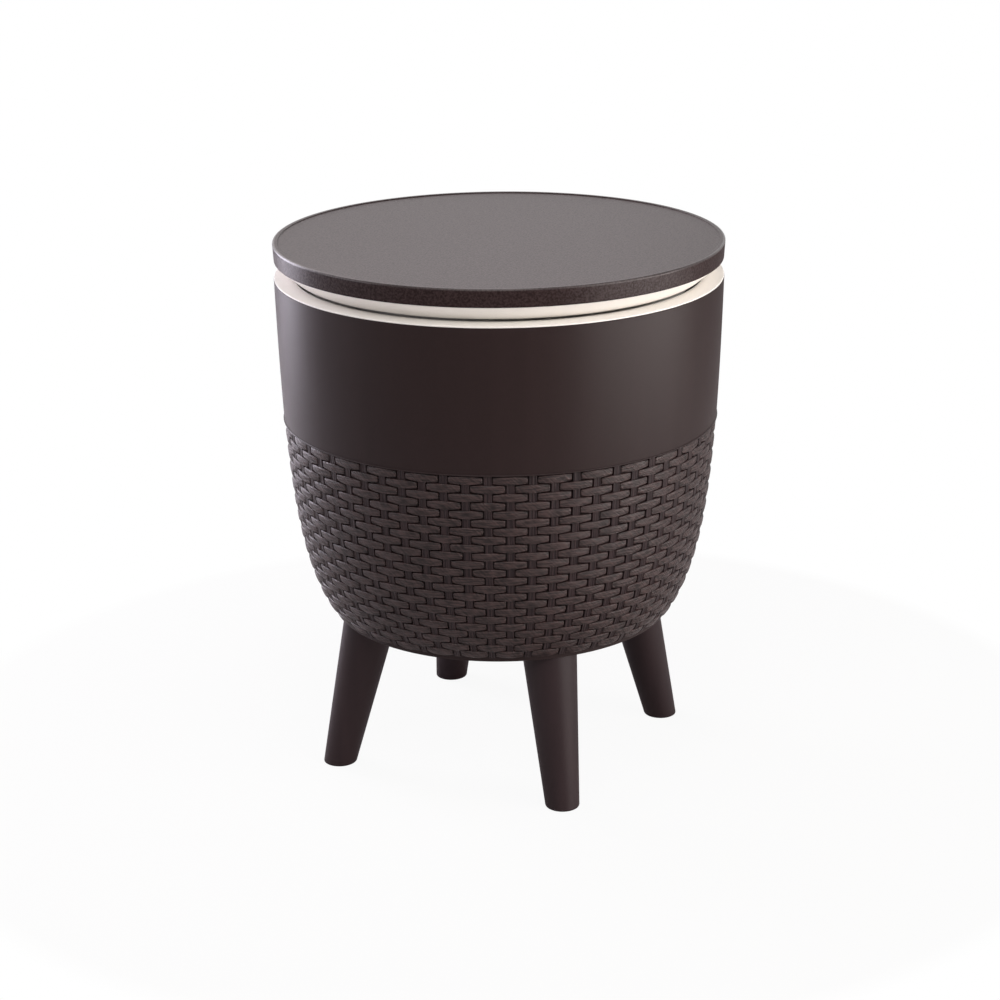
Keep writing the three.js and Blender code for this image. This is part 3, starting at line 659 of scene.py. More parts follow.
@dataclass(frozen=True)
class Pipe:
    """A pipe on Z whose outside changes with height and whose bore changes with the turn.

    Its corners stand at each turn and height, on the outside first and then in the bore. The
    faces in a window are left out, and walls from the outside to the bore close its edges.
    """

    outside: tuple[tuple[float, float], ...]
    bore: tuple[tuple[float, float], ...]
    windows: tuple[Window, ...] = ()
    steps: int = 96
    clear_degrees: float = 1.0

    def surface(self) -> Surface:
        """Works out the pipe.

        Even steps of the turn nearer than clear_degrees to a border make way for it.

        Returns:
            A closed surface, with only the corners that its faces use.
        """
        borders = [v % 360.0 for w in self.windows for v in (w.start, w.end)]
        borders += [turn for turn, _ in self.bore if 0.0 < turn < 360.0]
        even = np.arange(self.steps) * 360.0 / self.steps
        nearest = [min((abs(e - b) for b in borders), default=360.0) for e in even]
        clear = np.array(nearest) > self.clear_degrees
        turn = np.unique(np.round(np.concatenate([even[clear], borders]), 6))
        levels = [z for z, _ in self.outside] + [v for w in self.windows for v in (w.low, w.high)]
        height = np.unique(np.round(levels, 7))
        outer = np.interp(height, *np.array(self.outside).T)[:, None] + np.zeros(len(turn))
        inner = np.interp(turn, *np.array(self.bore).T)[None, :] + np.zeros((len(height), 1))
        angle = np.radians(turn)
        corners = np.concatenate(
            [
                np.stack([r * np.cos(angle), r * np.sin(angle), height[:, None] + 0 * r], -1)
                for r in (outer, inner)
            ]
        ).reshape(-1, 3)

        middle = (turn + np.diff(turn, append=turn[0] + 360.0) / 2) % 360.0
        solid = np.ones((len(height) - 1, len(turn)), bool)
        for window in self.windows:
            solid &= ~window.holds(middle, (height[1:] + height[:-1]) / 2)
        faces = self._faces(solid)
        used, place = np.unique(faces, return_inverse=True)
        return Surface(corners[used], place.reshape(-1, 4).tolist())

    @staticmethod
    def _faces(solid: np.ndarray) -> np.ndarray:
        """The faces of the outside, the bore and the walls between them.

        Args:
            solid: Whether the wall is there, for each height range and turn range.

        Returns:
            One row of four corner numbers for each face.
        """
        rows, count = solid.shape
        bore = (rows + 1) * count

        def corner(row: np.ndarray, column: np.ndarray, side: int) -> np.ndarray:
            """The numbers of corners on the outside (side 0) or in the bore (side 1)."""
            return side * bore + row * count + column % count

        found: list[np.ndarray] = []

        def add(mask: np.ndarray, path: tuple[tuple[int, int, int], ...]) -> None:
            """Adds a face for each place in the mask, round a path of row, column and side."""
            row, column = np.nonzero(mask)
            found.append(np.stack([corner(row + r, column + c, s) for r, c, s in path], -1))

        add(solid, ((0, 0, 0), (0, 1, 0), (1, 1, 0), (1, 0, 0)))
        add(solid, ((1, 0, 1), (1, 1, 1), (0, 1, 1), (0, 0, 1)))
        edge = np.zeros((1, count), bool)
        above, below = np.vstack([solid, edge]), np.vstack([edge, solid])
        add(below & ~above, ((0, 0, 0), (0, 1, 0), (0, 1, 1), (0, 0, 1)))
        add(above & ~below, ((0, 0, 1), (0, 1, 1), (0, 1, 0), (0, 0, 0)))
        behind = np.roll(solid, 1, axis=1)
        add(behind & ~solid, ((0, 0, 0), (0, 0, 1), (1, 0, 1), (1, 0, 0)))
        add(solid & ~behind, ((1, 0, 0), (1, 0, 1), (0, 0, 1), (0, 0, 0)))
        return np.vstack(found)


def pierced(piece: bpy.types.Object, cutter: Surface) -> bpy.types.Object:
    """Cuts a hole through a piece and finishes the cut.

    Args:
        piece: The piece to cut; it has one material.
        cutter: What is taken away.

    Returns:
        The same piece with its new mesh.
    """
    knife = cutter.to_object("cutter", piece.data.materials[0])
    cut = piece.modifiers.new("hole", "BOOLEAN")
    cut.operation, cut.solver, cut.object = "DIFFERENCE", "EXACT", knife
    bpy.context.view_layer.update()
    ready = piece.evaluated_get(bpy.context.evaluated_depsgraph_get())
    whole = bpy.data.meshes.new_from_object(ready)
    piece.modifiers.clear()
    spare = [piece.data, knife.data]
    piece.data = whole
    whole.set_sharp_from_angle(angle=math.radians(CUT_SHARP_DEGREES))
    bpy.data.objects.remove(knife)
    for mesh in spare:
        bpy.data.meshes.remove(mesh)
    return piece


def mounted(
    piece: bpy.types.Object, body: Body, stands_for: Sequence[str] = ()
) -> bpy.types.Object:
    """Puts a finished piece on its body and reports it.

    Args:
        piece: The finished piece.
        body: The body that it moves with.
        stands_for: The solids that it replaces.

    Returns:
        The same piece.
    """
    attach(piece, body.value)
    if stands_for:
        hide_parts(*stands_for)
    LOG.info("%-16s %7d faces on %s", piece.name, len(piece.data.polygons), body.value)
    return piece


# Sub-assemblies


@dataclass(frozen=True)
class BowlCurve:
    """The outline of the shell, one cubic curve from its top edge to its lower edge."""

    ends: tuple[tuple[float, float], ...] = (
        (0.24840, 0.55910),
        (0.24346, 0.35158),
        (0.23578, 0.23051),
        (0.19180, 0.17230),
    )
    samples: int = 4001

    def at(self, height: np.ndarray) -> tuple[np.ndarray, np.ndarray]:
        """Radius and outward normal of the outline.

        The curve is sum(b_k(t) p_k) with the cubic Bernstein weights b_k, read off at each height.

        Args:
            height: Heights to look up.

        Returns:
            The radius at each height, and the normal as (outward, upward) pairs.
        """
        t = np.linspace(0.0, 1.0, self.samples)[:, None]
        p = np.array(self.ends)
        u = 1.0 - t
        curve = u**3 * p[0] + 3 * u**2 * t * p[1] + 3 * u * t**2 * p[2] + t**3 * p[3]
        slope = np.gradient(curve, axis=0)
        normal = np.stack([-slope[:, 1], slope[:, 0]], -1)
        normal /= np.linalg.norm(normal, axis=1, keepdims=True)
        order = np.argsort(curve[:, 1])
        curve, normal = curve[order], normal[order]
        radius = np.interp(height, curve[:, 1], curve[:, 0])
        out = [np.interp(height, curve[:, 1], normal[:, k]) for k in (0, 1)]
        return radius, np.stack(out, -1)


@dataclass(frozen=True)
class DrainHole:
    """The round hole that the drain passes through in the floors of the shell and the tub."""

    reach: float = 0.150
    radius: float = 0.0126
    half_height: float = 0.012
    steps: int = 48

    def cutter(self, height: float) -> Surface:
        """An upright pin through a floor, moved out to the drain.

        Args:
            height: Height of the floor.

        Returns:
            A closed surface.
        """
        low, high = height - self.half_height, height + self.half_height
        pin = revolved(
            np.array([[0, low], [self.radius, low], [self.radius, high], [0, high]]), self.steps
        )
        pin.corners = pin.corners + np.array([0.0, self.reach, 0.0])
        return pin


@dataclass
class OuterShell:
    """The dark shell: the smooth band, the ground under the weave, the floor and its ribs."""

    finish: bpy.types.Material
    curve: BowlCurve = field(default_factory=BowlCurve)
    steps: int = 288
    top: float = 0.5591
    wall: float = 0.003
    band_foot: float = 0.3997
    bead_height: float = 0.0018
    bead_proud: float = 0.0010
    ground_depth: float = 0.0044
    ground_foot: float = 0.1772
    weave_wall: float = 0.0056
    ring_radius: float = 0.1906
    ring_wall: float = 0.0018
    ring_top: float = 0.1766
    foot: float = 0.1723
    floor_under: float = 0.178
    floor_top: float = 0.181
    hub_radius: float = 0.056
    hub_wall: float = 0.003
    rib_width: float = 0.0025
    rib_count: int = 8
    rib_bite: float = 0.001
    boss_radius: float = 0.0052
    boss_reach: float = 0.040
    boss_count: int = 4
    boss_steps: int = 32
    hub_steps: int = 96
    ring_step: float = 0.0006
    under_bead: float = 0.0003
    over_bead: float = 0.0004
    band_end: float = 0.0012
    edge_start: float = 0.001
    edge_end: float = 0.004
    inside_start: float = 0.006
    floor_corner: float = 0.003
    ground_rows: int = 60
    band_rows: int = 48
    inside_rows: int = 40
    bead_steps: int = 9
    step_height: float = 0.01

    def outside(self) -> np.ndarray:
        """The outside from the ground's foot up to the top edge.

        Below the band each point is the outline's point at that height less ground_depth along
        the normal. The bead is a half round on the band's lower edge.

        Returns:
            Radius and height of each point.
        """
        low = np.linspace(self.ground_foot, self.band_foot - self.under_bead, self.ground_rows)
        radius, normal = self.curve.at(low)
        ground = np.stack([radius, low], -1) - normal * self.ground_depth
        turn = np.radians(np.linspace(-90.0, 90.0, self.bead_steps))
        middle = self.band_foot + self.bead_height / 2
        bead_z = middle + self.bead_height / 2 * np.sin(turn)
        bead_r = self.curve.at(bead_z)[0] + self.bead_proud * np.cos(turn)
        band_low = self.band_foot + self.bead_height + self.over_bead
        high = np.linspace(band_low, self.top - self.band_end, self.band_rows)
        band = np.stack([self.curve.at(high)[0], high], -1)
        return np.vstack([ground, np.stack([bead_r, bead_z], -1), band])

    def profile(self) -> np.ndarray:
        """The whole section of the shell, from the axis under the floor and back to it.

        The wall is thicker behind the weave; it changes over step_height above the band's foot.

        Returns:
            Radius and height of each point.
        """
        inner = self.ring_radius - self.ring_wall
        under = rounded(
            [
                (0.0, self.floor_under, 0.0),
                (inner, self.floor_under, 0.0),
                (inner, self.foot, 0.0005),
                (self.ring_radius, self.foot, 0.0006),
                (self.ring_radius, self.ring_top, 0.0004),
                (self.ring_radius + self.ring_step, self.ring_top, 0.0),
            ],
            False,
        )
        below = self.top - self.edge_start
        below_radius, top_radius = self.curve.at(np.array([below, self.top]))[0].tolist()
        edge = rounded(
            [
                (below_radius, below, 0.0),
                (top_radius, self.top, 0.0005),
                (top_radius - self.wall, self.top, 0.0005),
                (top_radius - self.wall, self.top - self.edge_end, 0.0),
            ],
            False,
        )
        lowest = self.floor_top + self.floor_corner
        down = np.linspace(self.top - self.inside_start, lowest, self.inside_rows)
        share = (self.band_foot + self.step_height - down) / self.step_height
        share = np.clip(share, 0.0, 1.0)
        wall = self.wall + (self.weave_wall - self.wall) * share
        inside = np.stack([self.curve.at(down)[0] - wall, down], -1)
        corner = inside[-1, 0] - self.floor_corner
        floor = np.array([[corner, self.floor_top], [0.0, self.floor_top]])
        return np.vstack([under, self.outside(), edge, inside, floor])

    def rib(self, angle: float) -> Surface:
        """A rib under the floor, from the hub to the ring.

        Its section is a bar with a rounded lower edge, carried straight out at an angle.

        Args:
            angle: Direction of the rib, in radians.

        Returns:
            A closed bar.
        """
        half = self.rib_width / 2
        turn = np.radians(np.linspace(180.0, 360.0, 7))
        y = np.concatenate([half * np.cos(turn), [half, -half]])
        top = self.floor_under + self.rib_bite
        z = np.concatenate([self.foot + half + half * np.sin(turn), [top, top]])
        x = np.array([self.hub_radius, self.ring_radius]) - self.rib_bite
        points = np.stack([np.repeat(x, len(y)), np.tile(y, 2), np.tile(z, 2)], -1)
        cos, sin = math.cos(angle), math.sin(angle)
        corners = points @ np.array([[cos, sin, 0], [-sin, cos, 0], [0, 0, 1.0]])
        return Surface(corners, block_faces(1, 2, len(y)))

    def boss(self, angle: float) -> Surface:
        """A blind boss under the floor for one of the socket's screws.

        Args:
            angle: Direction in which the boss is moved out, in radians.

        Returns:
            A closed pin.
        """
        top = self.floor_under + self.rib_bite
        made = lathed(
            [
                (0.0, self.foot, 0.0),
                (self.boss_radius, self.foot, 0.0008),
                (self.boss_radius, top, 0.0),
                (0.0, top, 0.0),
            ],
            False,
            self.boss_steps,
        )
        step = np.array([math.cos(angle), math.sin(angle), 0.0]) * self.boss_reach
        made.corners = made.corners + step
        return made

    def build(self) -> None:
        """Makes the shell and what stiffens it underneath."""
        shell = revolved(self.profile(), self.steps).to_object("shell_wall", self.finish)
        shell = pierced(shell, DrainHole().cutter(self.floor_under))
        mounted(shell, Body.BASE, ["outer_shell"])
        inner, top = self.hub_radius - self.hub_wall, self.floor_under + self.rib_bite
        hub = lathed(
            [
                (inner, self.foot, 0.0008),
                (self.hub_radius, self.foot, 0.0008),
                (self.hub_radius, top, 0.0),
                (inner, top, 0.0),
            ],
            True,
            self.hub_steps,
        )
        parts = [hub]
        for shape, count in ((self.boss, self.boss_count), (self.rib, self.rib_count)):
            parts += [shape((i + 0.5) * (2 * math.pi / count)) for i in range(count)]
        mounted(joined(parts).to_object("shell_ribs", self.finish), Body.BASE)


@dataclass
class Weave:
    """Moulded cane: upright stakes with pads that pass over every other stake in turn."""

    pad_finish: bpy.types.Material
    # The stakes' finish is darker than the pads' finish: painted shade for the stakes sunk under
    # the pads.
    stake_finish_painted_shade: bpy.types.Material
    curve: BowlCurve = field(default_factory=BowlCurve)
    stakes: int = 64
    first_stake: float = math.radians(-89.65)
    rows: int = 23
    pitch: float = 0.00964
    row_above: float = 0.4040
    pad_reach: float = 0.775
    pad_shift: float = -0.012
    stake_half: float = 0.18
    end_height: float = 0.78
    taper_start: float = 0.26
    pad_dip: float = 0.0016
    root: float = 0.0047
    stake_level: float = 0.0013
    stake_foot: float = 0.1768
    stake_top: float = 0.4002
    stake_rows: int = 47
    pad_gap: float = 0.00020
    map_radius: float = 0.23
    map_per_row: float = 0.173
    map_per_pad: float = 0.097
    map_per_stake: float = 0.0913
    sharp_degrees: float = 50.0

    @property
    def spacing(self) -> float:
        """The angle from one stake to the next."""
        return 2.0 * math.pi / self.stakes

    def on_bowl(self, angle: np.ndarray, height: np.ndarray, offset: np.ndarray) -> np.ndarray:
        """Points that stand off the bowl's outline.

        Each point is the outline's point at that height, plus offset along its normal, turned
        about Z by the angle.

        Args:
            angle: Angle about Z.
            height: Height on the outline.
            offset: Distance outwards along the normal.

        Returns:
            Points in the last axis.
        """
        radius, normal = self.curve.at(height)
        reach = radius + normal[..., 0] * offset
        return np.stack(
            [reach * np.cos(angle), reach * np.sin(angle), height + normal[..., 1] * offset], -1
        )

    def pads(self) -> Surface:
        """All pads as one surface of closed lozenges.

        Along a pad, a runs from -1 to 1 and u = a * pad_reach in stake spacings. Its half height
        is half a pitch over the stake. From taper_start it falls evenly to end_height of that
        at its ends, whose corners are rounded. Its face dips by pad_dip * (1 - cos(pi u)) / 2.
        Across it, t runs from -1 to 1 and the face rounds off at its edges.

        Returns:
            The pads, with the run along and across each in metres as their UV map.
        """
        a = np.array([-1.0, -0.975, -0.92, -0.6, -0.25, 0.25, 0.6, 0.92, 0.975, 1.0])
        corner = np.array([0.82, 0.94, 1.0, 1.0, 1.0, 1.0, 1.0, 1.0, 0.94, 0.82])
        drop = np.array([0.5, 0.14, 0.0, 0.0, 0.0, 0.0, 0.0, 0.0, 0.14, 0.5]) * MM
        t = np.array([-1.0, -1.0, -0.93, -0.78, -0.3, 0.3, 0.78, 0.93, 1.0, 1.0])
        dome = np.array([0.0, 0.8, 0.32, 0.12, 0.0, 0.0, 0.12, 0.32, 0.8, 0.0]) * MM
        u = a * self.pad_reach + self.pad_shift
        fall = np.clip((np.abs(u) - self.taper_start) / (self.pad_reach - self.taper_start), 0, 1)
        half = self.pitch / 2 * (1.0 - (1.0 - self.end_height) * fall) * corner - self.pad_gap
        level = -self.pad_dip * (1.0 - np.cos(math.pi * u)) / 2 - drop

        row, stake = (number[:, None, None] for number in self.pad_places())
        rise = half[:, None] * t
        angle = self.first_stake + (stake + u[:, None]) * self.spacing
        height = self.row_above - row * self.pitch + rise
        offset = level[:, None] - dome + np.zeros_like(height)
        shift = row * self.map_per_row + stake * self.map_per_pad
        run = u[:, None] * self.spacing * self.map_radius + shift
        return self.strands(angle, height, offset, (run, rise + shift), True)

    def strands(
        self,
        angle: np.ndarray,
        height: np.ndarray,
        offset: np.ndarray,
        uv: tuple[np.ndarray, np.ndarray],
        flipped: bool,
    ) -> Surface:
        """Closed strands on the bowl, rooted in its wall along both edges.

        Args:
            angle: Angle about Z, for each strand, place along it and place across it.
            height: Height on the outline, likewise.
            offset: Distance outwards; the edges are moved in to the root.
            uv: The two coordinates of the UV map, likewise.
            flipped: Whether a strand runs round the bowl and not up it.

        Returns:
            All strands as one surface.
        """
        offset[..., [0, -1]] = -self.root
        corners = self.on_bowl(np.broadcast_to(angle, height.shape), height, offset)
        layer = np.stack([np.broadcast_to(part, height.shape) for part in uv], -1)
        faces = block_faces(*height.shape, flipped)
        return Surface(corners.reshape(-1, 3), faces, layer.reshape(-1, 2))

    def pad_places(self) -> tuple[np.ndarray, np.ndarray]:
        """Finds the pads: they lie where row and stake add up to an even number.

        Returns:
            The row and the stake of each pad.
        """
        row, stake = np.meshgrid(np.arange(1, self.rows + 1), np.arange(self.stakes), indexing="ij")
        even = (row + stake) % 2 == 0
        return row[even].astype(float), stake[even].astype(float)

    def uprights(self) -> Surface:
        """All stakes as one surface of closed strips.

        Across a stake, w runs from -1 to 1 in half widths, and its face lies between two low
        ridges along its edges. It follows the bowl from its foot to the band.

        Returns:
            The stakes, with the run along and across each in metres as their UV map.
        """
        side = np.array([0.10, 0.30, 0.66, 0.82, 0.93, 1.0, 1.0])
        w = np.concatenate([-side[::-1], side])
        sunk = np.array([0.24, 0.24, 0.30, 0.0, 0.20, 0.80, 0.0]) * MM
        down = np.concatenate([sunk[::-1], sunk])
        stake = np.arange(self.stakes)[:, None, None]
        level = np.linspace(self.stake_foot, self.stake_top, self.stake_rows)[:, None]
        angle = self.first_stake + (stake + self.stake_half * w) * self.spacing
        height = np.broadcast_to(level, (self.stakes, self.stake_rows, len(w)))
        offset = -(self.stake_level + down) + np.zeros_like(height)
        shift = stake * self.map_per_stake
        over = w * self.stake_half * self.spacing * self.map_radius + shift
        return self.strands(angle, height, offset, (level + shift, over), False)

    def build(self) -> None:
        """Makes the stakes and the pads."""
        for name, strands, finish in (
            ("weave_stakes", self.uprights(), self.stake_finish_painted_shade),
            ("weave_pads", self.pads(), self.pad_finish),
        ):
            piece = strands.to_object(name, finish, self.sharp_degrees)
            mounted(piece, Body.BASE)


@dataclass
class Legs:
    """Four splayed legs, each a taper whose rings stay level as it leans outwards."""

    finish: bpy.types.Material
    count: int = 4
    steps: int = 72
    rows: int = 24
    top: float = 0.1777
    top_radius: float = 0.0309
    foot_radius: float = 0.0189
    top_reach: float = 0.1564
    foot_reach: float = 0.1993
    edge: float = 0.002
    first_degrees: float = 45.0
    foot_share: float = 0.06
    side_share: float = 0.08
    crown: float = 0.002

    def leg(self, angle: float) -> Surface:
        """One leg.

        A rounded taper is revolved, and each point is then moved outwards by the lean at its
        height: foot_reach - (foot_reach - top_reach) * z / top.

        Args:
            angle: Direction of the leg from the middle of the table, in radians.

        Returns:
            A closed taper, its foot flat on the floor.
        """
        side = np.linspace(0.0, 1.0, self.rows)[1:-1]
        widening = self.top_radius - self.foot_radius
        foot = rounded(
            [
                (0.0, 0.0, 0.0),
                (self.foot_radius, 0.0, self.edge),
                (self.foot_radius + widening * self.foot_share, self.top * self.foot_share, 0.0),
            ],
            False,
        )
        run = side[side > self.side_share]
        body = np.stack([self.foot_radius + widening * run, self.top * run], -1)
        crown = rounded(
            [
                (self.top_radius, self.top - self.crown, 0.0),
                (self.top_radius, self.top, 0.0006),
                (0.0, self.top, 0.0),
            ],
            False,
        )
        made = revolved(np.vstack([foot, body, crown[1:]]), self.steps)
        points = made.corners
        reach = self.foot_reach - (self.foot_reach - self.top_reach) * points[:, 2] / self.top
        x, y = points[:, 0] + reach, points[:, 1].copy()
        cos, sin = math.cos(angle), math.sin(angle)
        made.corners = np.stack([x * cos - y * sin, x * sin + y * cos, points[:, 2]], -1)
        return made

    def build(self) -> None:
        """Makes the four legs."""
        for i in range(self.count):
            angle = math.radians(self.first_degrees + 360.0 * i / self.count)
            piece = self.leg(angle).to_object(f"leg_skin_{i + 1}", self.finish)
            mounted(piece, Body.BASE, [f"leg_{i + 1}"])


@dataclass
class IceBucket:
    """The pale tub that hangs in the shell by its flange."""

    finish: bpy.types.Material
    steps: int = 240
    rim_radius: float = 0.248
    rim_top: float = 0.5609
    rim_edge: float = 0.0015
    flange: float = 0.003
    mouth_radius: float = 0.2254
    wall: float = 0.0025
    floor_radius: float = 0.2074
    floor_top: float = 0.2759
    corner: float = 0.030
    locating: float = 0.2448
    boss_inner: float = 0.0216
    boss_outer: float = 0.0296
    boss_rise: float = 0.010
    arc_steps: int = 8

    def profile(self) -> np.ndarray:
        """The section of the tub as a closed loop.

        Returns:
            Radius and height of each point.
        """
        under = self.floor_top - self.wall
        flange_under = self.rim_top - self.flange
        return rounded(
            [
                (self.boss_inner, under, 0.0),
                (self.floor_radius + self.wall, under, self.corner + self.wall),
                (self.mouth_radius + self.wall, flange_under, 0.0),
                (self.locating, flange_under, 0.0003),
                (self.locating, self.rim_top - self.rim_edge, 0.0),
                (self.rim_radius, self.rim_top - self.rim_edge, 0.0003),
                (self.rim_radius, self.rim_top, 0.0008),
                (self.mouth_radius, self.rim_top, 0.0007),
                (self.floor_radius, self.floor_top, self.corner),
                (self.boss_outer, self.floor_top, 0.0015),
                (self.boss_outer, self.floor_top + self.boss_rise, 0.0010),
                (self.boss_inner, self.floor_top + self.boss_rise, 0.0006),
            ],
            True,
            self.arc_steps,
        )

    def build(self) -> None:
        """Makes the tub."""
        tub = revolved(self.profile(), self.steps).to_object("bucket_tub", self.finish)
        tub = pierced(tub, DrainHole().cutter(self.floor_top))
        mounted(tub, Body.BASE, ["ice_bucket"])


@dataclass
class Tabletop:
    """The dark top: a flat deck inside a raised lip, with a drafted skirt."""

    finish: bpy.types.Material
    steps: int = 288
    radius: float = 0.249
    top: float = 0.600
    deck: float = 0.5988
    under: float = 0.5958
    skirt_foot: float = 0.5804
    skirt_radius: float = 0.2478
    wall: float = 0.003
    lip_width: float = 0.0055
    lip_slope: float = 0.0012
    deck_edge: float = 0.012
    deck_rings: tuple[float, float] = (0.66, 0.33)

    def profile(self) -> np.ndarray:
        """The section of the top, from the axis under the deck and back to it.

        Returns:
            Radius and height of each point.
        """
        inner = self.radius - self.lip_width
        return rounded(
            [
                (0.0, self.under, 0.0),
                (self.radius - self.wall, self.under, 0.0008),
                (self.skirt_radius - self.wall, self.skirt_foot, 0.0004),
                (self.skirt_radius, self.skirt_foot, 0.0006),
                (self.radius, self.top, 0.0018),
                (inner, self.top, 0.0007),
                (inner - self.lip_slope, self.deck, 0.0008),
                (inner - self.deck_edge, self.deck, 0.0),
                *[(inner * share, self.deck, 0.0) for share in self.deck_rings],
                (0.0, self.deck, 0.0),
            ],
            False,
        )

    def build(self) -> None:
        """Makes the top."""
        top = revolved(self.profile(), self.steps).to_object("deck_top", self.finish)
        mounted(top, Body.LID, ["tabletop"])


@dataclass
class LidLiner:
    """The pale cone and plug under the top."""

    finish: bpy.types.Material
    steps: int = 240
    bore: float = 0.0231
    floor_under: float = 0.549
    plug_radius: float = 0.2104
    edge: float = 0.5635
    edge_radius: float = 0.2263
    cone_top: float = 0.5801
    cone_radius: float = 0.2469
    upstand_radius: float = 0.2438
    upstand: float = 0.009
    wall: float = 0.0025

    def profile(self) -> np.ndarray:
        """The section of the liner as a closed loop.

        Returns:
            Radius and height of each point.
        """
        slant = (self.cone_radius - self.edge_radius) / (self.cone_top - self.edge)
        inside = self.upstand_radius - self.wall
        high = self.cone_top + self.wall - (self.cone_radius - self.upstand_radius) / slant
        low = self.edge + self.wall
        ledge = inside - (high - low) * slant
        return rounded(
            [
                (self.bore, self.floor_under, 0.0006),
                (self.plug_radius, self.floor_under, 0.002),
                (self.plug_radius, self.edge, 0.001),
                (self.edge_radius, self.edge, 0.0008),
                (self.cone_radius, self.cone_top, 0.0004),
                (self.upstand_radius, self.cone_top, 0.0),
                (self.upstand_radius, self.cone_top + self.upstand, 0.0005),
                (inside, self.cone_top + self.upstand, 0.0005),
                (inside, high, 0.0),
                (ledge, low, 0.0),
                (self.plug_radius - self.wall, low, 0.0),
                (self.plug_radius - self.wall, self.floor_under + self.wall, 0.0),
                (self.bore, self.floor_under + self.wall, 0.0006),
            ],
            True,
        )

    def build(self) -> None:
        """Makes the liner."""
        liner = revolved(self.profile(), self.steps).to_object("liner_cone", self.finish)
        mounted(liner, Body.LID, ["lid_liner"])


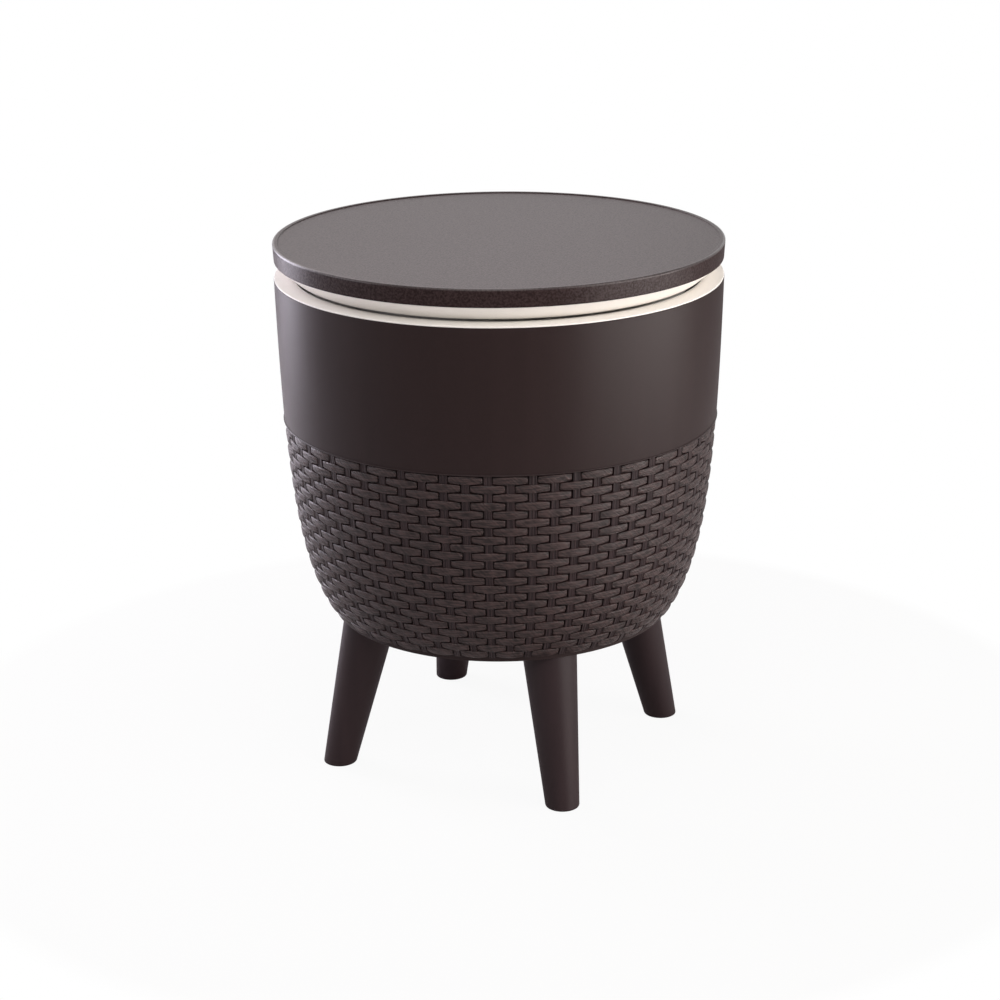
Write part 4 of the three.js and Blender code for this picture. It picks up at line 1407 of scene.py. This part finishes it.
@dataclass
class PoleGuide:
    """The lifting pole with its locking paths, and the tube, collar and seal cap round it."""

    pole_finish: bpy.types.Material
    cap_finish: bpy.types.Material
    steps: int = 96
    pole_radius: float = 0.0155
    pole_bore: float = 0.0125
    neck_radius: float = 0.0141
    pole_foot: float = 0.2006
    neck_top: float = 0.2259
    neck_step: float = 0.0001
    pole_top: float = 0.58807
    path_half: float = 0.0033
    path_low: float = 0.2827
    path_high: float = 0.5427
    pin_half: float = 0.0028
    head_pin: float = 0.574
    socket_pin: float = 0.1923
    guide_radius: float = 0.021
    guide_bore: float = 0.0185
    guide_foot: float = 0.1856
    guide_top: float = 0.5374
    key_rise: float = 0.0012
    key_degrees: float = 7.8
    key_flank: float = 0.3
    gap: float = 0.0003
    collar_radius: float = 0.030
    collar_under: float = 0.5377
    collar_top: float = 0.5477
    skirt: float = 0.022
    skirt_wall: float = 0.0035
    peg_radius: float = 0.003
    peg_near: float = 0.0129
    peg_root: float = 0.001
    peg_steps: int = 32
    collar_arc: int = 6
    cap_inner: float = 0.0302
    cap_wall: float = 0.0025
    cap_foot: float = 0.2769
    cap_under: float = 0.2895

    def pin_holes(self, height: float, radius: float) -> list[Window]:
        """The two holes of a cross pin along X.

        Args:
            height: Height of the pin's middle.
            radius: Outside radius of the pipe.

        Returns:
            The two openings.
        """
        half = math.degrees(math.asin(self.pin_half / radius))
        low, high = height - self.pin_half, height + self.pin_half
        return [Window(turn - half, turn + half, low, high) for turn in (0.0, 180.0)]

    def pole(self) -> Surface:
        """The pole: each peg's path is a long slot with a quarter-turn branch at both ends.

        Returns:
            A closed pipe.
        """
        half = math.degrees(math.asin(self.path_half / self.pole_radius))
        low, high = self.path_low - self.path_half, self.path_high + self.path_half
        windows = self.pin_holes(self.head_pin, self.pole_radius)
        for turn in (90.0, 270.0):
            windows.append(Window(turn - half, turn + half, low, high))
            for end in (self.path_low, self.path_high):
                bottom, top = end - self.path_half, end + self.path_half
                windows.append(Window(turn - 90.0 - half, turn + half, bottom, top))
        outside = (
            (self.pole_foot, self.neck_radius),
            (self.neck_top - self.neck_step, self.neck_radius),
            (self.neck_top, self.pole_radius),
            (self.pole_top, self.pole_radius),
        )
        bore = ((0.0, self.pole_bore), (360.0, self.pole_bore))
        return Pipe(outside, bore, tuple(windows), self.steps).surface()

    def guide(self) -> Surface:
        """The guide tube, with a key along each side of its bore.

        Returns:
            A closed pipe.
        """
        inset, edge, step = self.guide_bore - self.key_rise, self.key_degrees, self.key_flank
        bore = [(0.0, inset)]
        for key in (0.0, 180.0):
            bore += [
                (key + edge, inset),
                (key + edge + step, self.guide_bore),
                (key + 180.0 - edge - step, self.guide_bore),
                (key + 180.0 - edge, inset),
            ]
        bore.append((360.0, inset))
        outside = ((self.guide_foot, self.guide_radius), (self.guide_top, self.guide_radius))
        holes = self.pin_holes(self.socket_pin, self.guide_radius)
        return Pipe(outside, tuple(bore), tuple(holes), self.steps).surface()

    def collar(self) -> Surface:
        """The collar: a ring with a skirt over the tube, and two pegs that point at the pole.

        Returns:
            A closed surface for each of the three, in one.
        """
        inner, tube = self.pole_radius + self.gap, self.guide_radius + self.gap
        foot = self.collar_under - self.skirt
        body = lathed(
            [
                (inner, self.collar_under, 0.0),
                (tube, self.collar_under, 0.0),
                (tube, foot, 0.0004),
                (tube + self.skirt_wall, foot, 0.0010),
                (tube + self.skirt_wall, self.collar_under, 0.0010),
                (self.collar_radius, self.collar_under, 0.0006),
                (self.collar_radius, self.collar_top, 0.0020),
                (inner, self.collar_top, 0.0008),
            ],
            True,
            self.steps,
            self.collar_arc,
        )
        far = inner + self.peg_root
        reach = far - self.peg_near
        pin = lathed(
            [
                (0.0, 0.0, 0.0),
                (self.peg_radius, 0.0, 0.0),
                (self.peg_radius, reach, 0.0004),
                (0.0, reach, 0.0),
            ],
            False,
            self.peg_steps,
        )
        pegs = []
        for side in (1.0, -1.0):
            x, y, z = pin.corners.T
            turned = np.stack([side * x, side * (far - z), self.path_high + y], -1)
            pegs.append(Surface(turned, pin.faces))
        return joined([body, *pegs])

    def cap(self) -> Surface:
        """The cap over the floor boss: a skirt, a sloping shoulder and a bore for the tube.

        Returns:
            A closed surface.
        """
        outer, top = self.cap_inner + self.cap_wall, self.cap_under + self.cap_wall
        tube = self.guide_radius + self.gap
        return lathed(
            [
                (self.cap_inner, self.cap_foot, 0.0004),
                (outer, self.cap_foot, 0.0006),
                (outer, self.cap_under, 0.0010),
                (self.cap_inner, top, 0.0010),
                (tube, top, 0.0006),
                (tube, self.cap_under, 0.0),
                (self.cap_inner, self.cap_under, 0.0005),
            ],
            True,
            self.steps,
        )

    def build(self) -> None:
        """Makes the pole and what guides it."""
        for name, shape, finish, body, slot, solid in (
            ("pole_tube", self.pole(), self.pole_finish, Body.LID, Slot.POLE, "lift_pole"),
            ("guide_pipe", self.guide(), self.pole_finish, Body.BASE, Slot.POLE, "guide_tube"),
            ("peg_collar", self.collar(), self.pole_finish, Body.BASE, Slot.POLE, "guide_collar"),
            ("boss_cap", self.cap(), self.cap_finish, Body.BASE, Slot.PALE, "seal_cap"),
        ):
            mounted(shape.to_object(name, finish), body, [solid])


@dataclass
class Mechanism:
    """The solids that keep their own shape and take a finish: head, bush, drain and screws."""

    finishes: dict[Slot, bpy.types.Material]
    slots: dict[Slot, tuple[str, ...]] = field(
        default_factory=lambda: {
            Slot.PALE: ("pole_head", "foot_bush", "foot_plug", "drain_tube", "drain_nut"),
            Slot.DARK: ("tube_socket", "drain_plug"),
            Slot.RUBBER: ("pole_seal", "plug_seal"),
            Slot.STEEL: (
                "socket_pin",
                "head_pin",
                *[
                    f"{place}_screw_{i}"
                    for place in ("leg", "socket", "head", "liner")
                    for i in range(1, 5)
                ],
            ),
        }
    )

    def dress(self) -> None:
        """Gives each solid that still shows its finish."""
        for slot, names in self.slots.items():
            for name in names:
                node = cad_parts[name]
                node.data.materials.clear()
                node.data.materials.append(self.finishes[slot])
            LOG.info("%-16s %7d solids", slot.value, len(names))


def heading(azimuth: float, elevation: float) -> Vector:
    """The direction away from the table, for an azimuth and an elevation in degrees."""
    a, e = math.radians(azimuth), math.radians(elevation)
    return Vector((math.sin(a) * math.cos(e), -math.cos(a) * math.cos(e), math.sin(e)))


@dataclass
class Studio:
    """A pale floor, soft light and the camera of the photograph.

    Each entry of lamps holds what the lamp method takes, in its order.
    """

    lens: float = 87.998
    distance: float = 2.790
    azimuth: float = 26.201
    elevation: float = 18.553
    roll: float = -0.5754
    aim_right: float = -0.001457
    aim_height: float = 0.293224
    sensor: float = 36.0
    clip: tuple[float, float] = (0.05, 60.0)
    lamps: tuple[tuple[str, float, float, float, tuple[float, float], float, str], ...] = (
        ("key_right", 70.0, -4.0, 2.2, (2.4, 0.36), 37.0, "fff8f5"),
        ("key_high", 56.0, 32.0, 2.4, (1.6, 0.6), 19.0, "fff9f6"),
        ("strip_left", -125.0, 13.0, 2.0, (0.9, 1.6), 38.0, "f6f0ff"),
        ("fill_left", -76.0, 8.0, 2.3, (1.2, 0.8), 10.0, "f8f2fc"),
        ("back_soft", -165.0, 34.0, 3.0, (2.4, 1.0), 13.0, "fff0f4"),
        ("front_fill", -8.0, 46.0, 2.8, (2.0, 1.0), 25.0, "fffdfb"),
        ("top_soft", 0.0, 76.0, 2.4, (0.7, 0.7), 11.0, "fff8f6"),
    )
    lamp_aim: float = 0.35
    world_level: float = 0.08
    floor_half: float = 6.0
    floor_height: float = -0.0004
    floor_colours: tuple[str, str] = ("d8d7d5", "dedddb")
    floor_patch: float = 3.0
    floor_fade: tuple[float, float] = (0.2, 0.7)
    floor_glow: float = 0.93

    def camera(self) -> None:
        """Stands the camera at its distance from the aim, along azimuth and elevation."""
        a, r = math.radians(self.azimuth), math.radians(self.roll)
        back = heading(self.azimuth, self.elevation)
        aim = Vector(
            (self.aim_right * math.cos(a), self.aim_right * math.sin(a), self.aim_height)
        )
        right = (-back).cross(Vector((0.0, 0.0, 1.0))).normalized()
        up = back.cross(right)
        across = right * math.cos(r) + up * math.sin(r)
        upward = up * math.cos(r) - right * math.sin(r)
        data = bpy.data.cameras.new("photo_camera")
        data.lens = self.lens
        data.sensor_width = self.sensor
        data.clip_start, data.clip_end = self.clip
        camera = linked("photo_camera", data)
        turn = Matrix((across, upward, back)).transposed().to_4x4()
        camera.matrix_world = Matrix.Translation(aim + back * self.distance) @ turn
        bpy.context.scene.camera = camera

    def lamp(
        self,
        name: str,
        azimuth: float,
        elevation: float,
        distance: float,
        size: tuple[float, float],
        power: float,
        colour: str,
    ) -> None:
        """Adds a soft box that faces the table.

        Args:
            name: Name of the lamp.
            azimuth: Degrees round the table from the camera's side, to the right.
            elevation: Degrees above the floor.
            distance: Metres from the middle of the table.
            size: Width and height of the box.
            power: Watts.
            colour: Six hex digits.
        """
        data = bpy.data.lights.new(name, "AREA")
        data.shape = "RECTANGLE"
        data.size, data.size_y = size
        data.energy = power
        data.color = srgb(colour)[:3]
        back = heading(self.azimuth + azimuth, elevation)
        place = Matrix.Translation(Vector((0.0, 0.0, self.lamp_aim)) + back * distance)
        turn = back.to_track_quat("Z", "Y").to_matrix().to_4x4()
        linked(name, data).matrix_world = place @ turn

    def world(self) -> None:
        """Lights from all round at world_level, and is plain white to the eye and in gloss."""
        world = bpy.data.worlds.new("studio")
        world.use_nodes = True
        bpy.context.scene.world = world
        sheet = ShaderSheet(world.node_tree)
        path = sheet.node("ShaderNodeLightPath")
        seen = sheet.out(path, "Is Camera Ray") + sheet.out(path, "Is Glossy Ray")
        seen = sheet.math("MINIMUM", seen + sheet.out(path, "Is Transmission Ray"), 1.0)
        strength = seen + (1.0 - seen) * self.world_level
        inputs = {"Strength": strength, "Color": (1.0, 1.0, 1.0, 1.0)}
        back = sheet.node("ShaderNodeBackground", None, inputs)
        sheet.output(sheet.out(back), "ShaderNodeOutputWorld")

    def floor(self) -> None:
        """Lays a pale floor whose own shade shows faintly near the table and fades outwards."""
        made, sheet = new_sheet("studio_floor")
        half = self.floor_half
        place = sheet.place()
        fade = sheet.stretched(sheet.length(place), *self.floor_fade)
        seen = sheet.out(sheet.node("ShaderNodeLightPath"), "Is Camera Ray")
        white = sheet.node("ShaderNodeEmission", None, {"Color": (1.0, 1.0, 1.0, 1.0)})
        first, second = (srgb(code) for code in self.floor_colours)
        tone = sheet.mixed(sheet.noise(place, self.floor_patch), first, second)
        shade = sheet.node("ShaderNodeBsdfDiffuse", None, {"Color": tone})
        glow = sheet.math("MAXIMUM", fade, self.floor_glow) * seen
        inputs = {0: glow, 1: sheet.out(shade), 2: sheet.out(white)}
        sheet.output(sheet.out(sheet.node("ShaderNodeMixShader", None, inputs)))
        corners = np.array([[-half, -half], [half, -half], [half, half], [-half, half]])
        corners = np.hstack([corners, np.full((4, 1), self.floor_height)])
        floor = Surface(corners, [[0, 1, 2, 3]]).to_object("studio_floor", made)

    def build(self) -> None:
        """Sets up the camera, the light and the floor."""
        self.camera()
        self.world()
        for lamp in self.lamps:
            self.lamp(*lamp)
        self.floor()
        bpy.context.scene.view_settings.view_transform = "Standard"


def finishes() -> dict[str, bpy.types.Material]:
    """Makes every finish once.

    Returns:
        The materials by name.
    """
    made = [
        MouldedPlastic(
            "deck_grain", "352727", "241919", 0.38, grain_size=0.0022, grain_depth=0.0003,
            sheen_spread=0.2, specular=0.10, flow_share=0.0, coat=0.18, worn_reach=0.2462,
            worn_height=0.5972,
        ),
        MouldedPlastic(
            "band_gloss", "2b1f1f", "261b1b", 0.40, grain_depth=0.00001, sheen_spread=0.12,
            specular=0.15, flow_share=0.3,
        ),
        MouldedPlastic("leg_satin", "302426", "271d1f", 0.46, grain_depth=0.00001, specular=0.15),
        MouldedPlastic(
            "pale_satin", "f5f2ed", "f1ede7", 0.42, grain_size=0.0012, grain_depth=0.00001,
            sheen_spread=0.04, specular=0.2, flow_share=0.3,
        ),
        MouldedPlastic("pole_satin", "372d2c", "302625", 0.38, grain_depth=0.00001),
        MouldedPlastic(
            "black_rubber", "201f1e", "191817", 0.8, grain_size=0.0006, grain_depth=0.00004,
            sheen_spread=0.1,
        ),
        CaneGrain(
            "cane_pads", "423231", "190f0f", 0.38, fibre_width=0.0018, fibre_length=0.014,
            fibre_depth=0.0005, slant=1.0, specular=0.28,
        ),
        # The stakes' cane colour is painted darker than the pads': painted shade for the stakes
        # sunk under the pads.
        CaneGrain(
            "cane_stakes_painted_shade", "322526", "1d1315", 0.44, fibre_width=0.0018, fibre_length=0.06,
            fibre_depth=0.0005, specular=0.20,
        ),
        TurnedSteel("zinc_steel", "c4c6c8", "9a9c9e", 0.36),
    ]
    return {finish.name: finish.material() for finish in made}


def main() -> None:
    """Builds the table from the shell outwards, then the studio."""
    logging.basicConfig(level=logging.INFO, format="%(name)s: %(message)s")
    made = finishes()
    OuterShell(made["band_gloss"]).build()
    Weave(made["cane_pads"], made["cane_stakes_painted_shade"]).build()
    Legs(made["leg_satin"]).build()
    IceBucket(made["pale_satin"]).build()
    Tabletop(made["deck_grain"]).build()
    LidLiner(made["pale_satin"]).build()
    PoleGuide(made["pole_satin"], made["pale_satin"]).build()
    Mechanism(
        {
            Slot.PALE: made["pale_satin"],
            Slot.DARK: made["leg_satin"],
            Slot.RUBBER: made["black_rubber"],
            Slot.STEEL: made["zinc_steel"],
        }
    ).dress()
    Studio().build()


if __name__ == "__main__":
    main()
